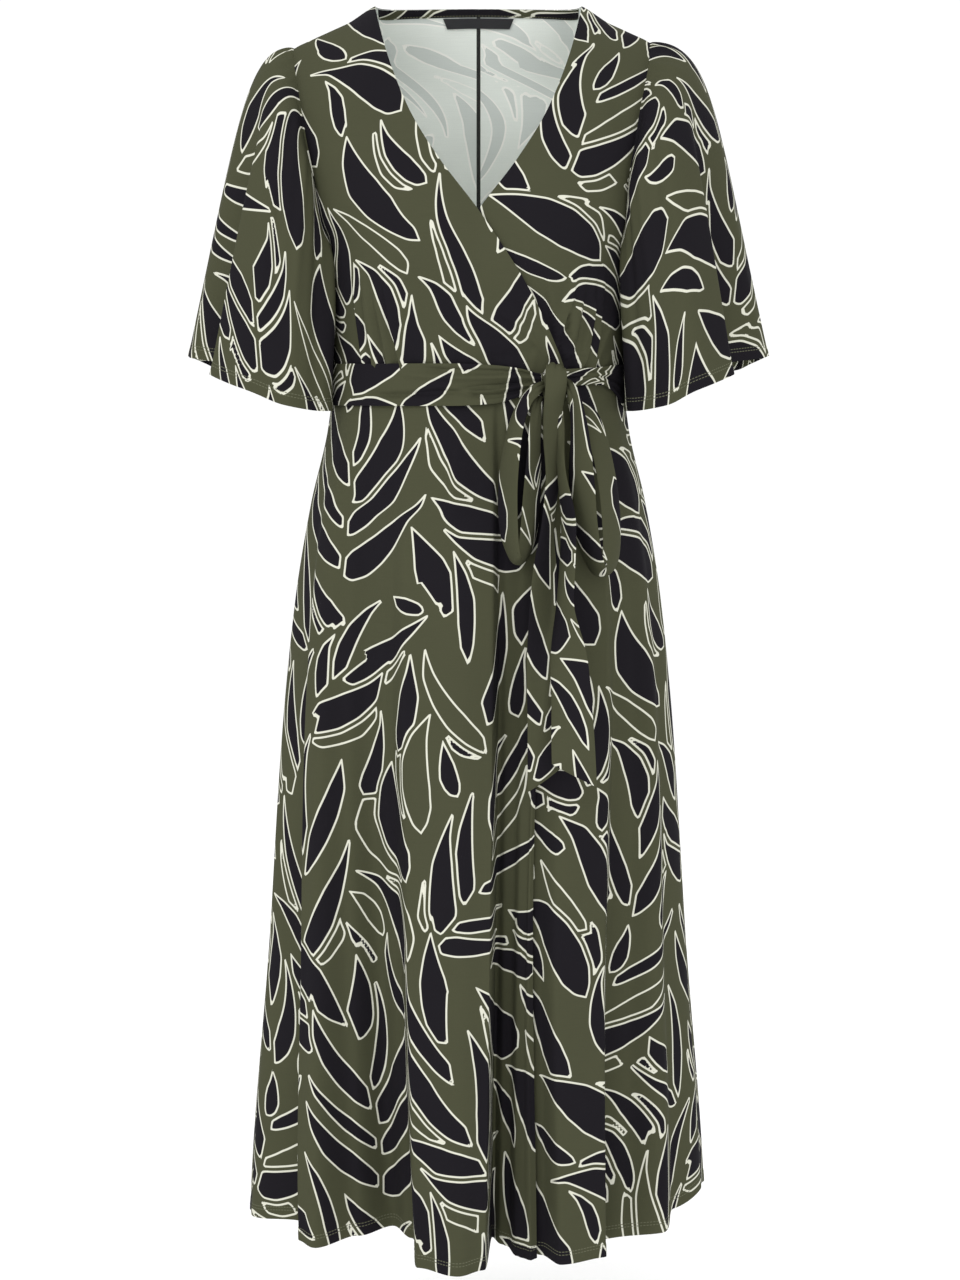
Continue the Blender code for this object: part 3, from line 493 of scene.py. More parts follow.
def front_surface(side):
    """Front panel: u from the neck and wrap edge to the side, v from shoulder to waist."""

    def surface(u, v):
        edge_x, edge_z = WRAP_EDGE.at("x", v), WRAP_EDGE.at("z", v)
        inner = np.degrees(np.arcsin(edge_x / TORSO.at("half_width", edge_z)))
        angle = mix(inner, -outer_angle(side, v), u)
        z = mix(edge_z, outer_z(side, v), u)
        across = TORSO.at("half_width", z) * np.sin(np.radians(angle))
        z = z + (shoulder_z(across) - mix(0.0, outer_z(side, 0.0), u)) * (1 - eased(v / FRONT_TOP_V))
        point = torso_point(angle, z)
        stand = tuck_wave(u, v)
        if side == LEFT:
            point[..., 0] *= -1
            covered = eased((wrap_edge_x(z) + WRAP_UNDERLAP - point[..., 0]) / WRAP_STEP)
            stand = mix(stand, -(WALL + LAYER_GAP), covered)
        out = unit(point * (1.0, 1.0, 0.0))
        return point + out * stand[..., None]

    return surface


def back_surface(side):
    """Back panel: u from the centre-back seam to the side, v from neck and shoulder to waist."""

    def surface(u, v):
        half_width = TORSO.at("half_width", 0.0)
        neck = math.degrees(math.asin(NECK_HALF_WIDTH / half_width))
        outer = outer_angle(side, v)
        neck = mix(neck, outer / 2, eased(v / BACK_TOP_V))
        beyond = np.maximum(u - NECK_U, 0.0) / (1 - NECK_U)
        angle = mix(neck * np.minimum(u / NECK_U, 1.0), outer, beyond)
        top = back_top(half_width * np.sin(np.radians(angle)))[0]
        level = mix(BACK_NECK_Z, WAIST_Z, v)
        side_z = outer_z(side, v)
        z = mix(mix(level, side_z, u), level + top - BACK_NECK_Z, 1 - eased(v / BACK_TOP_V))
        z = mix(z, side_z, eased((u - SIDE_STRIP_U) / (1 - SIDE_STRIP_U)))
        return torso_point(180 - angle, z) * (side, 1.0, 1.0)

    return surface


def armhole_point(side, turn):
    """Point of the armhole loop: 0 at the shoulder, 0.25 in front, 0.5 under the arm."""
    turn = turn % 1.0
    front = turn <= 0.5
    v = UNDERARM_V * np.where(front, turn, 1 - turn) / 0.5
    angle = outer_angle(side, v)
    return torso_point(np.where(front, angle, 180 - angle), outer_z(side, v)) * (side, 1.0, 1.0)


def curved(start, first, second, end, t):
    """Point of a curve that leaves start towards first and comes to end from second."""
    near_start = start * (1 - t) ** 3 + first * 3 * t * (1 - t) ** 2
    return near_start + second * 3 * t * t * (1 - t) + end * t**3


def sleeve_surface(side):
    """Sleeve: turn round from its outermost line, v from the armhole to the hem."""
    name = "right" if side == RIGHT else "left"

    def surface(turn, v):
        turn, v = np.broadcast_arrays(turn % 1.0, v)
        start = armhole_point(side, turn) + (side * ARMHOLE_GAP, 0.0, 0.0)
        around = 2 * math.pi * turn
        out = stack(side * np.cos(around), -np.sin(around), 0.0 * turn)
        end_x, end_y, end_z = (SLEEVE_HEM.at(column, turn) for column in (name + "_x", name + "_y", "z"))
        end = stack(side * end_x, end_y, end_z)
        cap = np.cos(math.pi * turn)[..., None] ** 2
        first = start + out * CAP_OUT[side] * cap
        reach = mix(SLEEVE_UNDER_REACH, SLEEVE_TOP_REACH, cap)
        second = mix(start, end, reach) + out * CAP_ROUND[side] * cap
        point = curved(start, first, second, end, v[..., None])
        fold = SLEEVE_FOLDS.at("out", turn) * eased((v - FOLD_START_V) / (1 - FOLD_START_V))
        point[..., 0] += side * fold
        return point

    return surface


def skirt_form(angle, z):
    """Point of the skirt's plain form at an angle and a height."""
    sine = np.sin(np.radians(angle))
    cosine = np.cos(np.radians(angle))
    depth = np.where(cosine >= 0, SKIRT.at("front_depth", z), SKIRT.at("back_depth", z))
    swell = 1 + SKIRT.at("squareness", z) * sine**2
    return stack(SKIRT.at("half_width", z) * sine, -depth * cosine * swell, z)


FOLD_NAMES = [row[0] for row in FOLDS]
FOLD_VALUES = {name: np.array([row[i] for row in FOLDS]) for i, name in enumerate(FOLD_COLUMNS) if i}


def fold_value(column, place):
    """A column of the fold rows between two rows; ridges and valleys are level there."""
    i = np.clip(place.astype(int), 0, len(FOLDS) - 2)
    t = place - i
    if column not in ("waist_angle", "hem_angle"):
        t = 0.5 - 0.5 * np.cos(math.pi * t)
    values = FOLD_VALUES[column]
    return mix(values[i], values[i + 1], t)


def skirt_surface(place, v):
    """Skirt: place counts along the fold rows, v from the waist to the hem."""
    place, v = np.broadcast_arrays(np.asarray(place, float), v)
    settled = 1 - (1 - v) ** fold_value("settle", place)
    angle = mix(fold_value("waist_angle", place), fold_value("hem_angle", place), settled)
    z = mix(WAIST_Z, HEM_Z, v) - fold_value("drop", place) * v * v
    ahead = skirt_form(angle - 1, z) - skirt_form(angle + 1, z)
    out = unit(np.cross(ahead, (0.0, 0.0, -1.0)))
    stand = mix(fold_value("waist_out", place), fold_value("hem_out", place), v**FOLD_GROWTH)
    return skirt_form(angle, z) + out * stand[..., None]


def waist_form(angle, z):
    high = (z > WAIST_Z)[..., None]
    return np.where(high, torso_point(angle, z), skirt_form(angle, z))


def belt_surface(angle, v):
    """Band round the waist: angle in degrees, v from its top to its bottom edge."""
    angle, v = np.broadcast_arrays(np.asarray(angle, float), v)
    z = mix(BELT.at("top", angle), BELT.at("bottom", angle), v)
    out = unit(np.cross((0.0, 0.0, -1.0), waist_form(angle + 1, z) - waist_form(angle - 1, z)))
    stand = BELT_CLEAR + BELT_WALL + BELT_CROWN * np.sin(math.pi * v)
    return waist_form(angle, z) + out * stand[..., None]


def near_end(v):
    """0 along a ribbon, rising to 1 over its last part."""
    return eased((v - RIBBON_END_V) / (1 - RIBBON_END_V))


def ribbon_value(rows, column, t):
    """A column of a ribbon's rows at t from 0 to 1, by a curve through its rows."""
    values = np.array([row[RIBBON_COLUMNS.index(column)] for row in rows])
    place = np.clip(t, 0.0, 1.0) * (len(rows) - 1)
    i = np.minimum(place.astype(int), len(rows) - 2)
    f = place - i
    a, b, c, d = (values[np.clip(i + k, 0, len(rows) - 1)] for k in (-1, 0, 1, 2))
    level = b + f * (c - a) / 2
    return level + f * f * (2 * a - 5 * b + 4 * c - d) / 2 + f**3 * (3 * b - a - 3 * c + d) / 2


def ribbon_surface(rows, slant):
    """Sash ribbon: u across from -1 to 1, v along it; slant cuts its end at an angle."""

    def centre(v):
        return stack(*(ribbon_value(rows, name, v) for name in ("x", "y", "z")))

    def surface(u, v):
        u, v = np.broadcast_arrays(np.asarray(u, float), v)
        along = unit(centre(v + 0.01) - centre(v - 0.01))
        across = unit(np.cross(along, (0.0, 1.0, 0.0)))
        front = np.cross(along, across)
        turn = np.radians(ribbon_value(rows, "turn", v))[..., None]
        wide = across * np.cos(turn) + front * np.sin(turn)
        half = ribbon_value(rows, "width", v) / 2
        hollow = RIBBON_HOLLOW * (1 - u * u)
        point = centre(v) + wide * (half * u)[..., None] + np.cross(along, wide) * hollow[..., None]
        point[..., 2] -= slant * u * near_end(v)
        return point

    return surface


# ---- Creases ----

# Creases of each panel, by place across and height: a ridge stands up, a trough lies in, and a
# lap rises softly to a sharp far edge.  bend bows the line to its left.
CREASE_COLUMNS = ("kind", "x0", "z0", "x1", "z1", "bend", "width", "height")
CREASES = {
    "front_bodice_left": (
        ("lap", 0.088, -0.354, 0.066, -0.262, 0.004, 0.010, 0.0034),
        ("lap", 0.094, -0.354, 0.098, -0.254, 0.005, 0.010, 0.0034),
        ("lap", 0.104, -0.356, 0.126, -0.270, 0.005, 0.009, 0.0030),
        ("lap", 0.116, -0.356, 0.144, -0.300, 0.003, 0.008, 0.0024),
        ("trough", 0.084, -0.340, 0.050, -0.268, 0.003, 0.006, 0.0016),
        ("ridge", 0.110, -0.352, 0.140, -0.300, 0.002, 0.006, 0.0016),
        ("trough", 0.128, -0.060, 0.142, -0.150, 0.004, 0.011, 0.0018),
        ("ridge", 0.155, -0.230, 0.120, -0.180, 0.004, 0.014, 0.0018),
    ),
    "front_bodice_right": (
        ("trough", -0.142, -0.062, -0.130, -0.160, 0.004, 0.012, 0.0018),
        ("trough", -0.160, -0.235, -0.118, -0.200, -0.004, 0.012, 0.0016),
        ("ridge", -0.150, -0.262, -0.120, -0.240, 0.003, 0.009, 0.0014),
        ("trough", 0.060, -0.340, -0.020, -0.352, 0.005, 0.006, 0.0012),
        ("lap", 0.070, -0.354, 0.004, -0.296, -0.004, 0.010, 0.0020),
        ("lap", 0.076, -0.356, 0.030, -0.270, 0.004, 0.009, 0.0024),
    ),
    "back_bodice_right": (
        ("trough", -0.150, -0.090, -0.110, -0.210, 0.008, 0.014, 0.0022),
        ("trough", -0.148, -0.262, -0.080, -0.236, -0.006, 0.013, 0.0020),
        ("ridge", -0.140, -0.320, -0.060, -0.290, 0.004, 0.012, 0.0022),
        ("lap", -0.112, -0.372, -0.100, -0.300, 0.003, 0.011, 0.0020),
        ("lap", -0.082, -0.372, -0.078, -0.314, 0.002, 0.010, 0.0018),
        ("trough", -0.040, -0.330, -0.010, -0.352, 0.002, 0.010, 0.0016),
    ),
    "back_bodice_left": (
        ("trough", 0.146, -0.096, 0.104, -0.220, -0.009, 0.015, 0.0022),
        ("trough", 0.146, -0.276, 0.090, -0.244, 0.005, 0.012, 0.0018),
        ("ridge", 0.142, -0.330, 0.050, -0.296, -0.005, 0.013, 0.0022),
        ("lap", 0.104, -0.372, 0.096, -0.306, -0.003, 0.010, 0.0020),
        ("lap", 0.074, -0.372, 0.072, -0.320, -0.002, 0.010, 0.0018),
    ),
    "skirt_front_over": (
        ("lap", -0.030, -0.507, -0.016, -0.400, 0.002, 0.016, 0.0034),
        ("ridge", -0.118, -0.404, -0.136, -0.500, 0.004, 0.014, 0.0024),
        ("trough", -0.080, -0.404, -0.094, -0.470, 0.003, 0.010, 0.0016),
    ),
    "skirt_front_under": (
        ("ridge", 0.108, -0.404, 0.128, -0.520, -0.004, 0.012, 0.0022),
        ("trough", 0.128, -0.404, 0.146, -0.500, -0.004, 0.010, 0.0018),
    ),
    "skirt_back_right": (
        ("lap", -0.094, -0.480, -0.086, -0.400, 0.002, 0.012, 0.0024),
        ("trough", -0.048, -0.404, -0.054, -0.500, 0.003, 0.012, 0.0018),
    ),
    "skirt_back_left": (
        ("lap", 0.086, -0.490, 0.080, -0.400, -0.002, 0.012, 0.0024),
        ("trough", 0.044, -0.404, 0.050, -0.486, -0.003, 0.012, 0.0018),
    ),
}

# The soft rise and the sharp fall of a lap, and how soon the print jumps there, in crease widths
LAP_RISE = 1.6
LAP_FALL = 0.22
LAP_JUMP = 0.9
LAP_TAKE = 2.2
TUCK_TAKE = 0.0070

# Along a crease: where it starts to rise and how far that takes, then the same for its fall
PANEL_ENDS = (-0.12, 0.20, 0.55, 0.50)
SLEEVE_ENDS = (-0.10, 0.30, 0.70, 0.50)
BELT_ENDS = (-0.10, 0.30, 0.75, 0.35)


def fading(t, ends):
    """1 along the middle of a crease, and soft at both of its ends."""
    rise, rise_run, fall, fall_run = ends
    return eased((t - rise) / rise_run) * (1 - eased((t - fall) / fall_run))


def panel_creases(piece, points):
    """Each of a panel's own creases, how far across it each point lies and how strong it is there."""
    for row in CREASES.get(piece, ()):
        crease = dict(zip(CREASE_COLUMNS, row))
        run = np.array((crease["x1"] - crease["x0"], crease["z1"] - crease["z0"]))
        length = math.hypot(*run)
        dx, dz = points[..., 0] - crease["x0"], points[..., 2] - crease["z0"]
        t = (dx * run[0] + dz * run[1]) / length**2
        n = (dz * run[0] - dx * run[1]) / length - crease["bend"] * 4 * t * (1 - t)
        yield crease, n / crease["width"], fading(t, PANEL_ENDS)


def crease_stand(piece, points):
    """How far a panel's own creases lift or sink each of its points."""
    stand = np.zeros(points.shape[:-1])
    for crease, n, ends in panel_creases(piece, points):
        if crease["kind"] == "lap":
            profile = eased((n + LAP_RISE) / LAP_RISE) * (1 - eased(n / LAP_FALL))
        else:
            profile = bell(n) * (1 if crease["kind"] == "ridge" else -1)
        stand += crease["height"] * profile * ends
    return stand


def lap_take(piece, points):
    """Cloth that lies folded away inside the laps, so that the print jumps where they end."""
    take = np.zeros(points.shape[:-1])
    way = 1 if "back" in piece else -1
    for crease, n, ends in panel_creases(piece, points):
        if crease["kind"] == "lap":
            rising = np.sign(crease["z1"] - crease["z0"])
            take += way * rising * LAP_TAKE * crease["height"] * eased(n / LAP_JUMP + 0.5) * ends
    return take


def long_crease_stand(rows, along, beside, ends, sway=0.0):
    """Creases down or round a piece: along and beside at both ends, half width and height."""
    stand = 0.0
    for along0, beside0, along1, beside1, half_width, height in rows:
        t = (along - along0) / (along1 - along0)
        away = (beside - mix(beside0, beside1, t) - sway * np.sin(5 * t)) / half_width
        stand = stand + height * bell(away) * fading(t, ends)
    return stand


# ---- Print ----

REPEAT_WIDTH = 0.560
REPEAT_HEIGHT = 0.640
REPEAT_CELL = 0.0008
FAR = -0.060
LAYERS = ("leaf_a", "leaf_b", "leaf_c", "leaf_d", "leaf_e", "leaf_f")
PRINT_SEED = 23

# Sprays of blades: where the stem starts, its way in degrees and how much it turns, the blades on
# each side, their length and half width, and how wide they spread at the spray's foot and tip
SPRAY_COLUMNS = ("x", "y", "way", "length", "turn", "blades", "blade", "half", "foot", "tip")
SPRAYS = (
    (0.040, 0.020, 82, 0.250, 34, 7, 0.128, 0.0150, 60, 14),
    (0.245, 0.050, 128, 0.210, -38, 6, 0.130, 0.0160, 50, 12),
    (0.400, 0.010, 58, 0.240, 42, 7, 0.125, 0.0150, 58, 14),
    (0.545, 0.190, 104, 0.230, -34, 6, 0.132, 0.0155, 56, 12),
    (0.125, 0.270, 38, 0.240, 44, 7, 0.124, 0.0150, 58, 14),
    (0.360, 0.290, 118, 0.230, 30, 7, 0.128, 0.0155, 58, 12),
    (0.500, 0.400, 76, 0.220, -38, 6, 0.126, 0.0150, 56, 14),
    (0.215, 0.440, 92, 0.230, 36, 7, 0.126, 0.0155, 60, 12),
    (0.060, 0.510, 142, 0.210, -36, 6, 0.124, 0.0150, 52, 14),
)

# How far a blade's rim stands from its middle line, as shares of its half width
RIM_PLACES = (0.0, 0.07, 0.20, 0.38, 0.58, 0.80, 1.0)
OUTER_RIMS = (
    (0.00, 0.55, 0.90, 1.00, 0.82, 0.42, 0.0),
    (0.00, 0.85, 1.02, 0.96, 0.80, 0.40, 0.0),
    (0.00, 0.30, 0.62, 0.92, 1.00, 0.62, 0.0),
    (0.00, 0.40, 0.70, 0.88, 0.92, 0.74, 0.0),
)
INNER_RIMS = (
    (0.00, 0.40, 0.62, 0.60, 0.42, 0.12, 0.0),
    (0.00, 0.45, 0.55, 0.40, 0.14, -0.10, 0.0),
    (0.00, 0.35, 0.55, 0.66, 0.58, 0.30, 0.0),
)

# Sizes of the leaves and of the clear cloth between them, in metres
STEM_HALF = 0.0030
LEAF_GAP = 0.0050
LEAF_MARGIN = 0.022
NEAR_LEAF = 0.008
RIM_FADE = (-0.007, 0.004)
SLIVER_HALF = 0.0014
LEAST_HALF = 0.0035
LEAST_ECHO = 0.0034
TIP_REACH = 0.022
TIP_ROOM = 0.0016
MIDDLE_ROOM = 0.0070
LEAF_ROOM = 0.022
CHIP_ROOM = 0.0135
ROOM_REACH = (0.004, 0.070)
TRIED_REACH = 0.012

# Shares of a leaf's length or area
LEAST_SHARE = 0.45
LEAST_BODY = 0.62
FOOT_SHARE = 0.3
STEM_REACH = 1.05
BLADE_SET_IN = 0.3
TIP_LIMIT = 0.45

# How finely the leaves are worked out
LINE_STEPS = 100
RIM_STEPS = 400
RIM_SOFTNESS = 12
ROOM_STEPS = 34
SWEEPS = 24
TIP_CELLS = 12
SIDE_CELLS = 5
EDGE_CELLS = 4
MOST_TRIES = 160

# What the leaves' own measures are drawn from; angles in degrees, and HOLLOW is a share of leaves
RIM_CHANGE = 0.06
ECHO_RIM = (0.0,) * len(RIM_PLACES)
BLADE_TURN = (8, 46)
BLADE_SIZES = (1.0, 0.85, 0.7)
BLADE_STEP = (0.5, 1.5)
FIRST_STEP = (0.5, 1.0)
LAST_BLADE = 0.96
BLADE_SPREAD = (-7, 7)
BLADE_LENGTH = (0.85, 1.12)
BLADE_WIDTH = (0.6, 1.45)
CHIP_WIDTH = (0.24, 0.34)
SINGLE_WIDTH = (0.36, 0.50)
SINGLE_LEAN = (-10, 10)
SINGLE_LENGTH = 0.125
SINGLE_BACK = 12
STEEP_WAYS = (25, 156, 13)
ECHO_LENGTH = (0.8, 1.05)
ECHO_WIDTH = (1.6, 2.2)
HOLLOW_BLADES = 0.10
HOLLOW_CHIPS = 0.3
HOLLOW_SINGLES = 0.12
HOLLOW_ECHOES = 0.45


class LeafPrint:
    """One repeat of the print, as distances in metres on a fine grid.

    Each layer holds leaves that lie well apart, by the distance inside their left and their
    right rims.
    """

    def __init__(self):
        self.columns = round(REPEAT_WIDTH / REPEAT_CELL)
        self.rows = round(REPEAT_HEIGHT / REPEAT_CELL)
        shape = (self.rows, self.columns)
        self.left = np.full((len(LAYERS), *shape), FAR, np.float32)
        self.right = self.left.copy()
        self.filled = np.full(shape, FAR, np.float32)
        self.open = self.filled.copy()
        self.echoes = []
        self.random = np.random.default_rng(PRINT_SEED)

    def window(self, x, y, reach):
        """The grid cells within reach of a place, and their places."""
        count = math.ceil(2 * reach / REPEAT_CELL) + 1
        across = math.floor((x - reach) / REPEAT_CELL) + np.arange(count)
        up = math.floor((y - reach) / REPEAT_CELL) + np.arange(count)
        places = np.meshgrid((across + 0.5) * REPEAT_CELL, (up + 0.5) * REPEAT_CELL)
        return np.ix_(up % self.rows, across % self.columns), *places

    def along(self, px, py, line):
        """Places along and to the left of a bent line: its start, its way, its length and its turn."""
        x, y, way, length, turn = line
        heading, turn = math.radians(way), math.radians(turn)
        forward = (px - x) * math.cos(heading) + (py - y) * math.sin(heading)
        leftward = (py - y) * math.cos(heading) - (px - x) * math.sin(heading)
        if abs(turn) < 1e-3:
            return forward, leftward
        radius = length / turn
        side = math.copysign(1.0, radius)
        run = np.arctan2(forward, (radius - leftward) * side) * abs(radius)
        return run, (abs(radius) - np.hypot(forward, radius - leftward)) * side

    def around(self, line, reach):
        """A window round a bent line."""
        x, y, way, length, turn = line
        middle = math.radians(way + turn / 4)
        x = x + math.cos(middle) * length / 2
        y = y + math.sin(middle) * length / 2
        return self.window(x, y, length / 2 + reach)

    def rim(self, shape, half, length):
        """A rim's distance from the middle line and its slope, at many places along it."""
        shape = np.array(shape)
        shape[1:-1] += self.random.uniform(-RIM_CHANGE, RIM_CHANGE, len(shape) - 2)
        fine = np.interp(np.linspace(0, 1, RIM_STEPS + 1), RIM_PLACES, shape * half)
        longer = np.pad(fine, RIM_SOFTNESS, mode="reflect", reflect_type="odd")
        count = 2 * RIM_SOFTNESS + 1
        soft = np.convolve(longer, np.ones(count) / count, "valid")
        return soft, np.gradient(soft, length / RIM_STEPS)

    def read(self, field, x, y):
        """A field in the cells at some places."""
        row, column = (y / REPEAT_CELL).astype(int), (x / REPEAT_CELL).astype(int)
        return field[row % self.rows, column % self.columns]

    def free_length(self, line):
        """How far a leaf's middle line runs before it meets a leaf already drawn."""
        x, y, way, length, turn = line
        t = np.linspace(0.0, 1.0, LINE_STEPS + 1)
        heading = np.radians(way + turn * t)
        step = length / LINE_STEPS
        xs = x + np.cumsum(np.cos(heading)) * step
        ys = y + np.cumsum(np.sin(heading)) * step
        met = (self.read(self.taken(), xs, ys) > -MIDDLE_ROOM) & (t > FOOT_SHARE)
        return float(t[np.argmax(met)]) if met.any() else 1.0

    def joined(self, mask, seed):
        """The part of a mask that is joined to its seed cell."""
        part = np.zeros(mask.shape, bool)
        part[seed] = mask[seed]
        places = np.indices(mask.shape)
        for turn in range(SWEEPS):
            axis, back = turn % 2, turn % 4 > 1
            flip = (lambda a: np.flip(a, axis)) if back else (lambda a: a)
            order = places[axis]
            last = np.maximum.accumulate(np.where(flip(part), order, -1), axis)
            wall = np.maximum.accumulate(np.where(flip(mask), -1, order), axis)
            part = flip(last > wall)
        return part

    def spread(self, mask, times):
        """A mask with the cells beside it, some times over."""
        for _ in range(times):
            beside = [np.roll(mask, step, axis) for axis in (0, 1) for step in (1, -1)]
            mask = np.logical_or.reduce([mask, *beside])
        return mask

    def leaf(self, line, half, outer, inner, side, trim=None, filled=True, echo=False):
        """Lays a leaf under those already drawn, with clear cloth between them.

        side says where its outer rim lies, and trim is a stem that cuts its foot: a line and a
        side.  An echo may lie behind a leaf on the same line.
        """
        share = 1.0 if echo else self.free_length(line)
        if share < LEAST_SHARE:
            return False
        line = (*line[:3], line[3] * share, line[4] * share)
        cells, px, py = self.around(line, half + LEAF_MARGIN)
        run, beside = self.along(px, py, line)
        length = line[3]
        at = np.clip(run / length, 0.0, 1.0) * RIM_STEPS
        before, past = np.maximum(-run, 0), np.maximum(run - length, 0)
        places = np.arange(RIM_STEPS + 1)
        rims = []
        for sign in (-1, 1):
            bow, slope = self.rim(outer if sign == side else inner, half, length)
            stands = np.interp(at, places, bow) - abs(slope[0]) * before - abs(slope[-1]) * past
            rims.append((stands - sign * beside) / np.sqrt(1 + np.interp(at, places, slope) ** 2))
        limit = np.where(before + past > 0, TIP_ROOM - TIP_LIMIT * (before + past), 1.0)
        if trim:
            stem, stem_side = trim
            stem_run, stem_beside = self.along(px, py, stem)
            beside_stem = stem_side * stem_beside - STEM_HALF
            limit = np.minimum(limit, np.where(stem_run < stem[3] * STEM_REACH, beside_stem, 1.0))
        whole = (np.minimum(*rims) > 0).sum()
        limit = np.minimum(limit, -self.taken(cells) - LEAF_GAP)
        left, right = (np.minimum(rim, limit) for rim in rims)
        inside = np.minimum(left, right)
        widest = np.unravel_index(np.argmax(inside), inside.shape)
        body = self.joined(inside > SLIVER_HALF, widest)
        least = LEAST_ECHO if echo else LEAST_HALF
        if inside[widest] < least or body.sum() < LEAST_BODY * whole * (not echo):
            return False
        tip = np.abs(run - length) < TIP_REACH
        for cell in range(TIP_CELLS):
            body |= self.spread(body, 1) & (inside > 0) & (tip | (cell < SIDE_CELLS))
        lost = (inside > -LEAF_GAP / 2) & ~self.spread(body, EDGE_CELLS)
        most = np.where(lost, -LEAF_GAP / 2, 1.0)
        left, right, inside = (np.minimum(part, most) for part in (left, right, inside))
        kept = self.filled if filled else self.open
        kept[cells] = np.maximum(kept[cells], inside)
        near = inside > -NEAR_LEAF
        taken = [np.minimum(a[cells], b[cells])[near].max() for a, b in zip(self.left, self.right)]
        layer = int(np.argmin(taken))
        apart = eased((inside - RIM_FADE[0]) / RIM_FADE[1])
        here = inside > np.minimum(self.left[layer][cells], self.right[layer][cells])
        for field, rim in ((self.left[layer], left), (self.right[layer], right)):
            field[cells] = np.where(here, mix(inside, rim, apart), field[cells])
        return True

    def taken(self, cells=slice(None)):
        """How far inside any leaf each cell lies."""
        return np.maximum(self.filled[cells], self.open[cells])

    def draw_blade(self, x, y, way, length, half, side, trim=None, filled=True):
        """A sabre-like leaf that bends towards side."""
        draw = self.random.uniform
        outer = OUTER_RIMS[self.random.integers(len(OUTER_RIMS))]
        inner = INNER_RIMS[self.random.integers(len(INNER_RIMS))]
        turn = side * draw(*BLADE_TURN)
        for smaller in BLADE_SIZES:
            line = (x, y, way, length * smaller, turn)
            if self.leaf(line, half * smaller, outer, inner, -side, trim, filled):
                self.echoes.append((line, half * smaller, outer, -side, trim))
                return True
        return False

    def spray(self, row):
        """Blades in turn on both sides of a stem, from its foot up, so that lower ones lie on top."""
        spray = dict(zip(SPRAY_COLUMNS, row))
        stem = (spray["x"], spray["y"], spray["way"], spray["length"], spray["turn"])
        draw = self.random.uniform
        places = []
        for side in (1, -1):
            steps = np.cumsum(draw(*BLADE_STEP, spray["blades"]))
            shares = (steps - steps[0] * draw(*FIRST_STEP)) / steps[-1]
            places += [(float(t), side) for t in shares * LAST_BLADE]
        for t, side in sorted(places):
            chord = math.radians(spray["way"] + spray["turn"] * t / 2)
            x = spray["x"] + spray["length"] * t * math.cos(chord)
            y = spray["y"] + spray["length"] * t * math.sin(chord)
            spread = mix(spray["foot"], spray["tip"], t) + draw(*BLADE_SPREAD)
            way = spray["way"] + spray["turn"] * t + side * spread
            share = 0.66 + 0.42 * math.sin(math.pi * (0.15 + 0.7 * t))
            size = spray["blade"] * share * draw(*BLADE_LENGTH)
            half = spray["half"] * draw(*BLADE_WIDTH)
            heading = math.radians(way)
            x = x - BLADE_SET_IN * half * math.cos(heading)
            y = y - BLADE_SET_IN * half * math.sin(heading)
            filled = draw(0, 1) > HOLLOW_BLADES
            self.draw_blade(x, y, way, size, half, -side, (stem, side), filled)

    def longest_way(self, x, y, lean):
        """The steep way in which the clear cloth round a place runs furthest, and how far it runs."""
        best = (0.0, 90.0)
        reach = np.linspace(*ROOM_REACH, ROOM_STEPS)
        for way in np.arange(*STEEP_WAYS) + lean:
            runs = []
            for heading in (math.radians(way), math.radians(way + 180)):
                xs, ys = x + reach * math.cos(heading), y + reach * math.sin(heading)
                blocked = self.read(self.taken(), xs, ys) > -MIDDLE_ROOM
                runs.append(reach[np.argmax(blocked)] if blocked.any() else reach[-1])
            best = max(best, (2 * min(runs), float(way)))
        return best[1], best[0]

    def fill_room(self, least):
        """Single leaves in the clear places that are wide enough."""
        draw = self.random.uniform
        tried = np.zeros(self.filled.shape)
        for _ in range(MOST_TRIES):
            room = -self.taken() - tried
            up, across = np.unravel_index(np.argmax(room), room.shape)
            x, y, room = (across + 0.5) * REPEAT_CELL, (up + 0.5) * REPEAT_CELL, float(room[up, across])
            if room < least:
                return
            chip = room < LEAF_ROOM
            side = 1 if draw(0, 1) < 0.5 else -1
            half = room * draw(*(CHIP_WIDTH if chip else SINGLE_WIDTH))
            way, free = self.longest_way(x, y, draw(*SINGLE_LEAN))
            length = min(free, SINGLE_LENGTH)
            heading = math.radians(way + side * SINGLE_BACK)
            start = (x - math.cos(heading) * length / 2, y - math.sin(heading) * length / 2)
            filled = draw(0, 1) > (HOLLOW_CHIPS if chip else HOLLOW_SINGLES)
            if not self.draw_blade(*start, way, length, half, side, None, filled):
                tried[self.window(x, y, TRIED_REACH)[0]] = 1.0

    def draw_echoes(self):
        """Narrow leaves close along one side of the leaves already drawn."""
        draw = self.random.uniform
        for line, half, outer, side, trim in self.echoes:
            line = (*line[:3], line[3] * draw(*ECHO_LENGTH), line[4])
            half = half * draw(*ECHO_WIDTH)
            filled = draw(0, 1) > HOLLOW_ECHOES
            self.leaf(line, half, outer, ECHO_RIM, side, trim, filled, echo=True)

    def draw_all(self):
        for row in SPRAYS:
            self.spray(row)
        self.fill_room(LEAF_ROOM)
        self.draw_echoes()
        self.fill_room(CHIP_ROOM)
        return self

    def at(self, x, y):
        """Every field at places given in metres, by the name of its attribute."""
        column = (x / REPEAT_CELL - 0.5) % self.columns
        row = (y / REPEAT_CELL - 0.5) % self.rows
        i, j = row.astype(int) % self.rows, column.astype(int) % self.columns
        rows, columns = (i, (i + 1) % self.rows), (j, (j + 1) % self.columns)
        down, over = row - np.floor(row), column - np.floor(column)

        def read(field):
            return between(field, rows, columns, down, over)

        hollow = read(self.open - self.filled)
        layers = zip(LAYERS, self.left, self.right)
        return {name: stack(read(left), read(right), hollow) for name, left, right in layers}


# ---- Shells ----

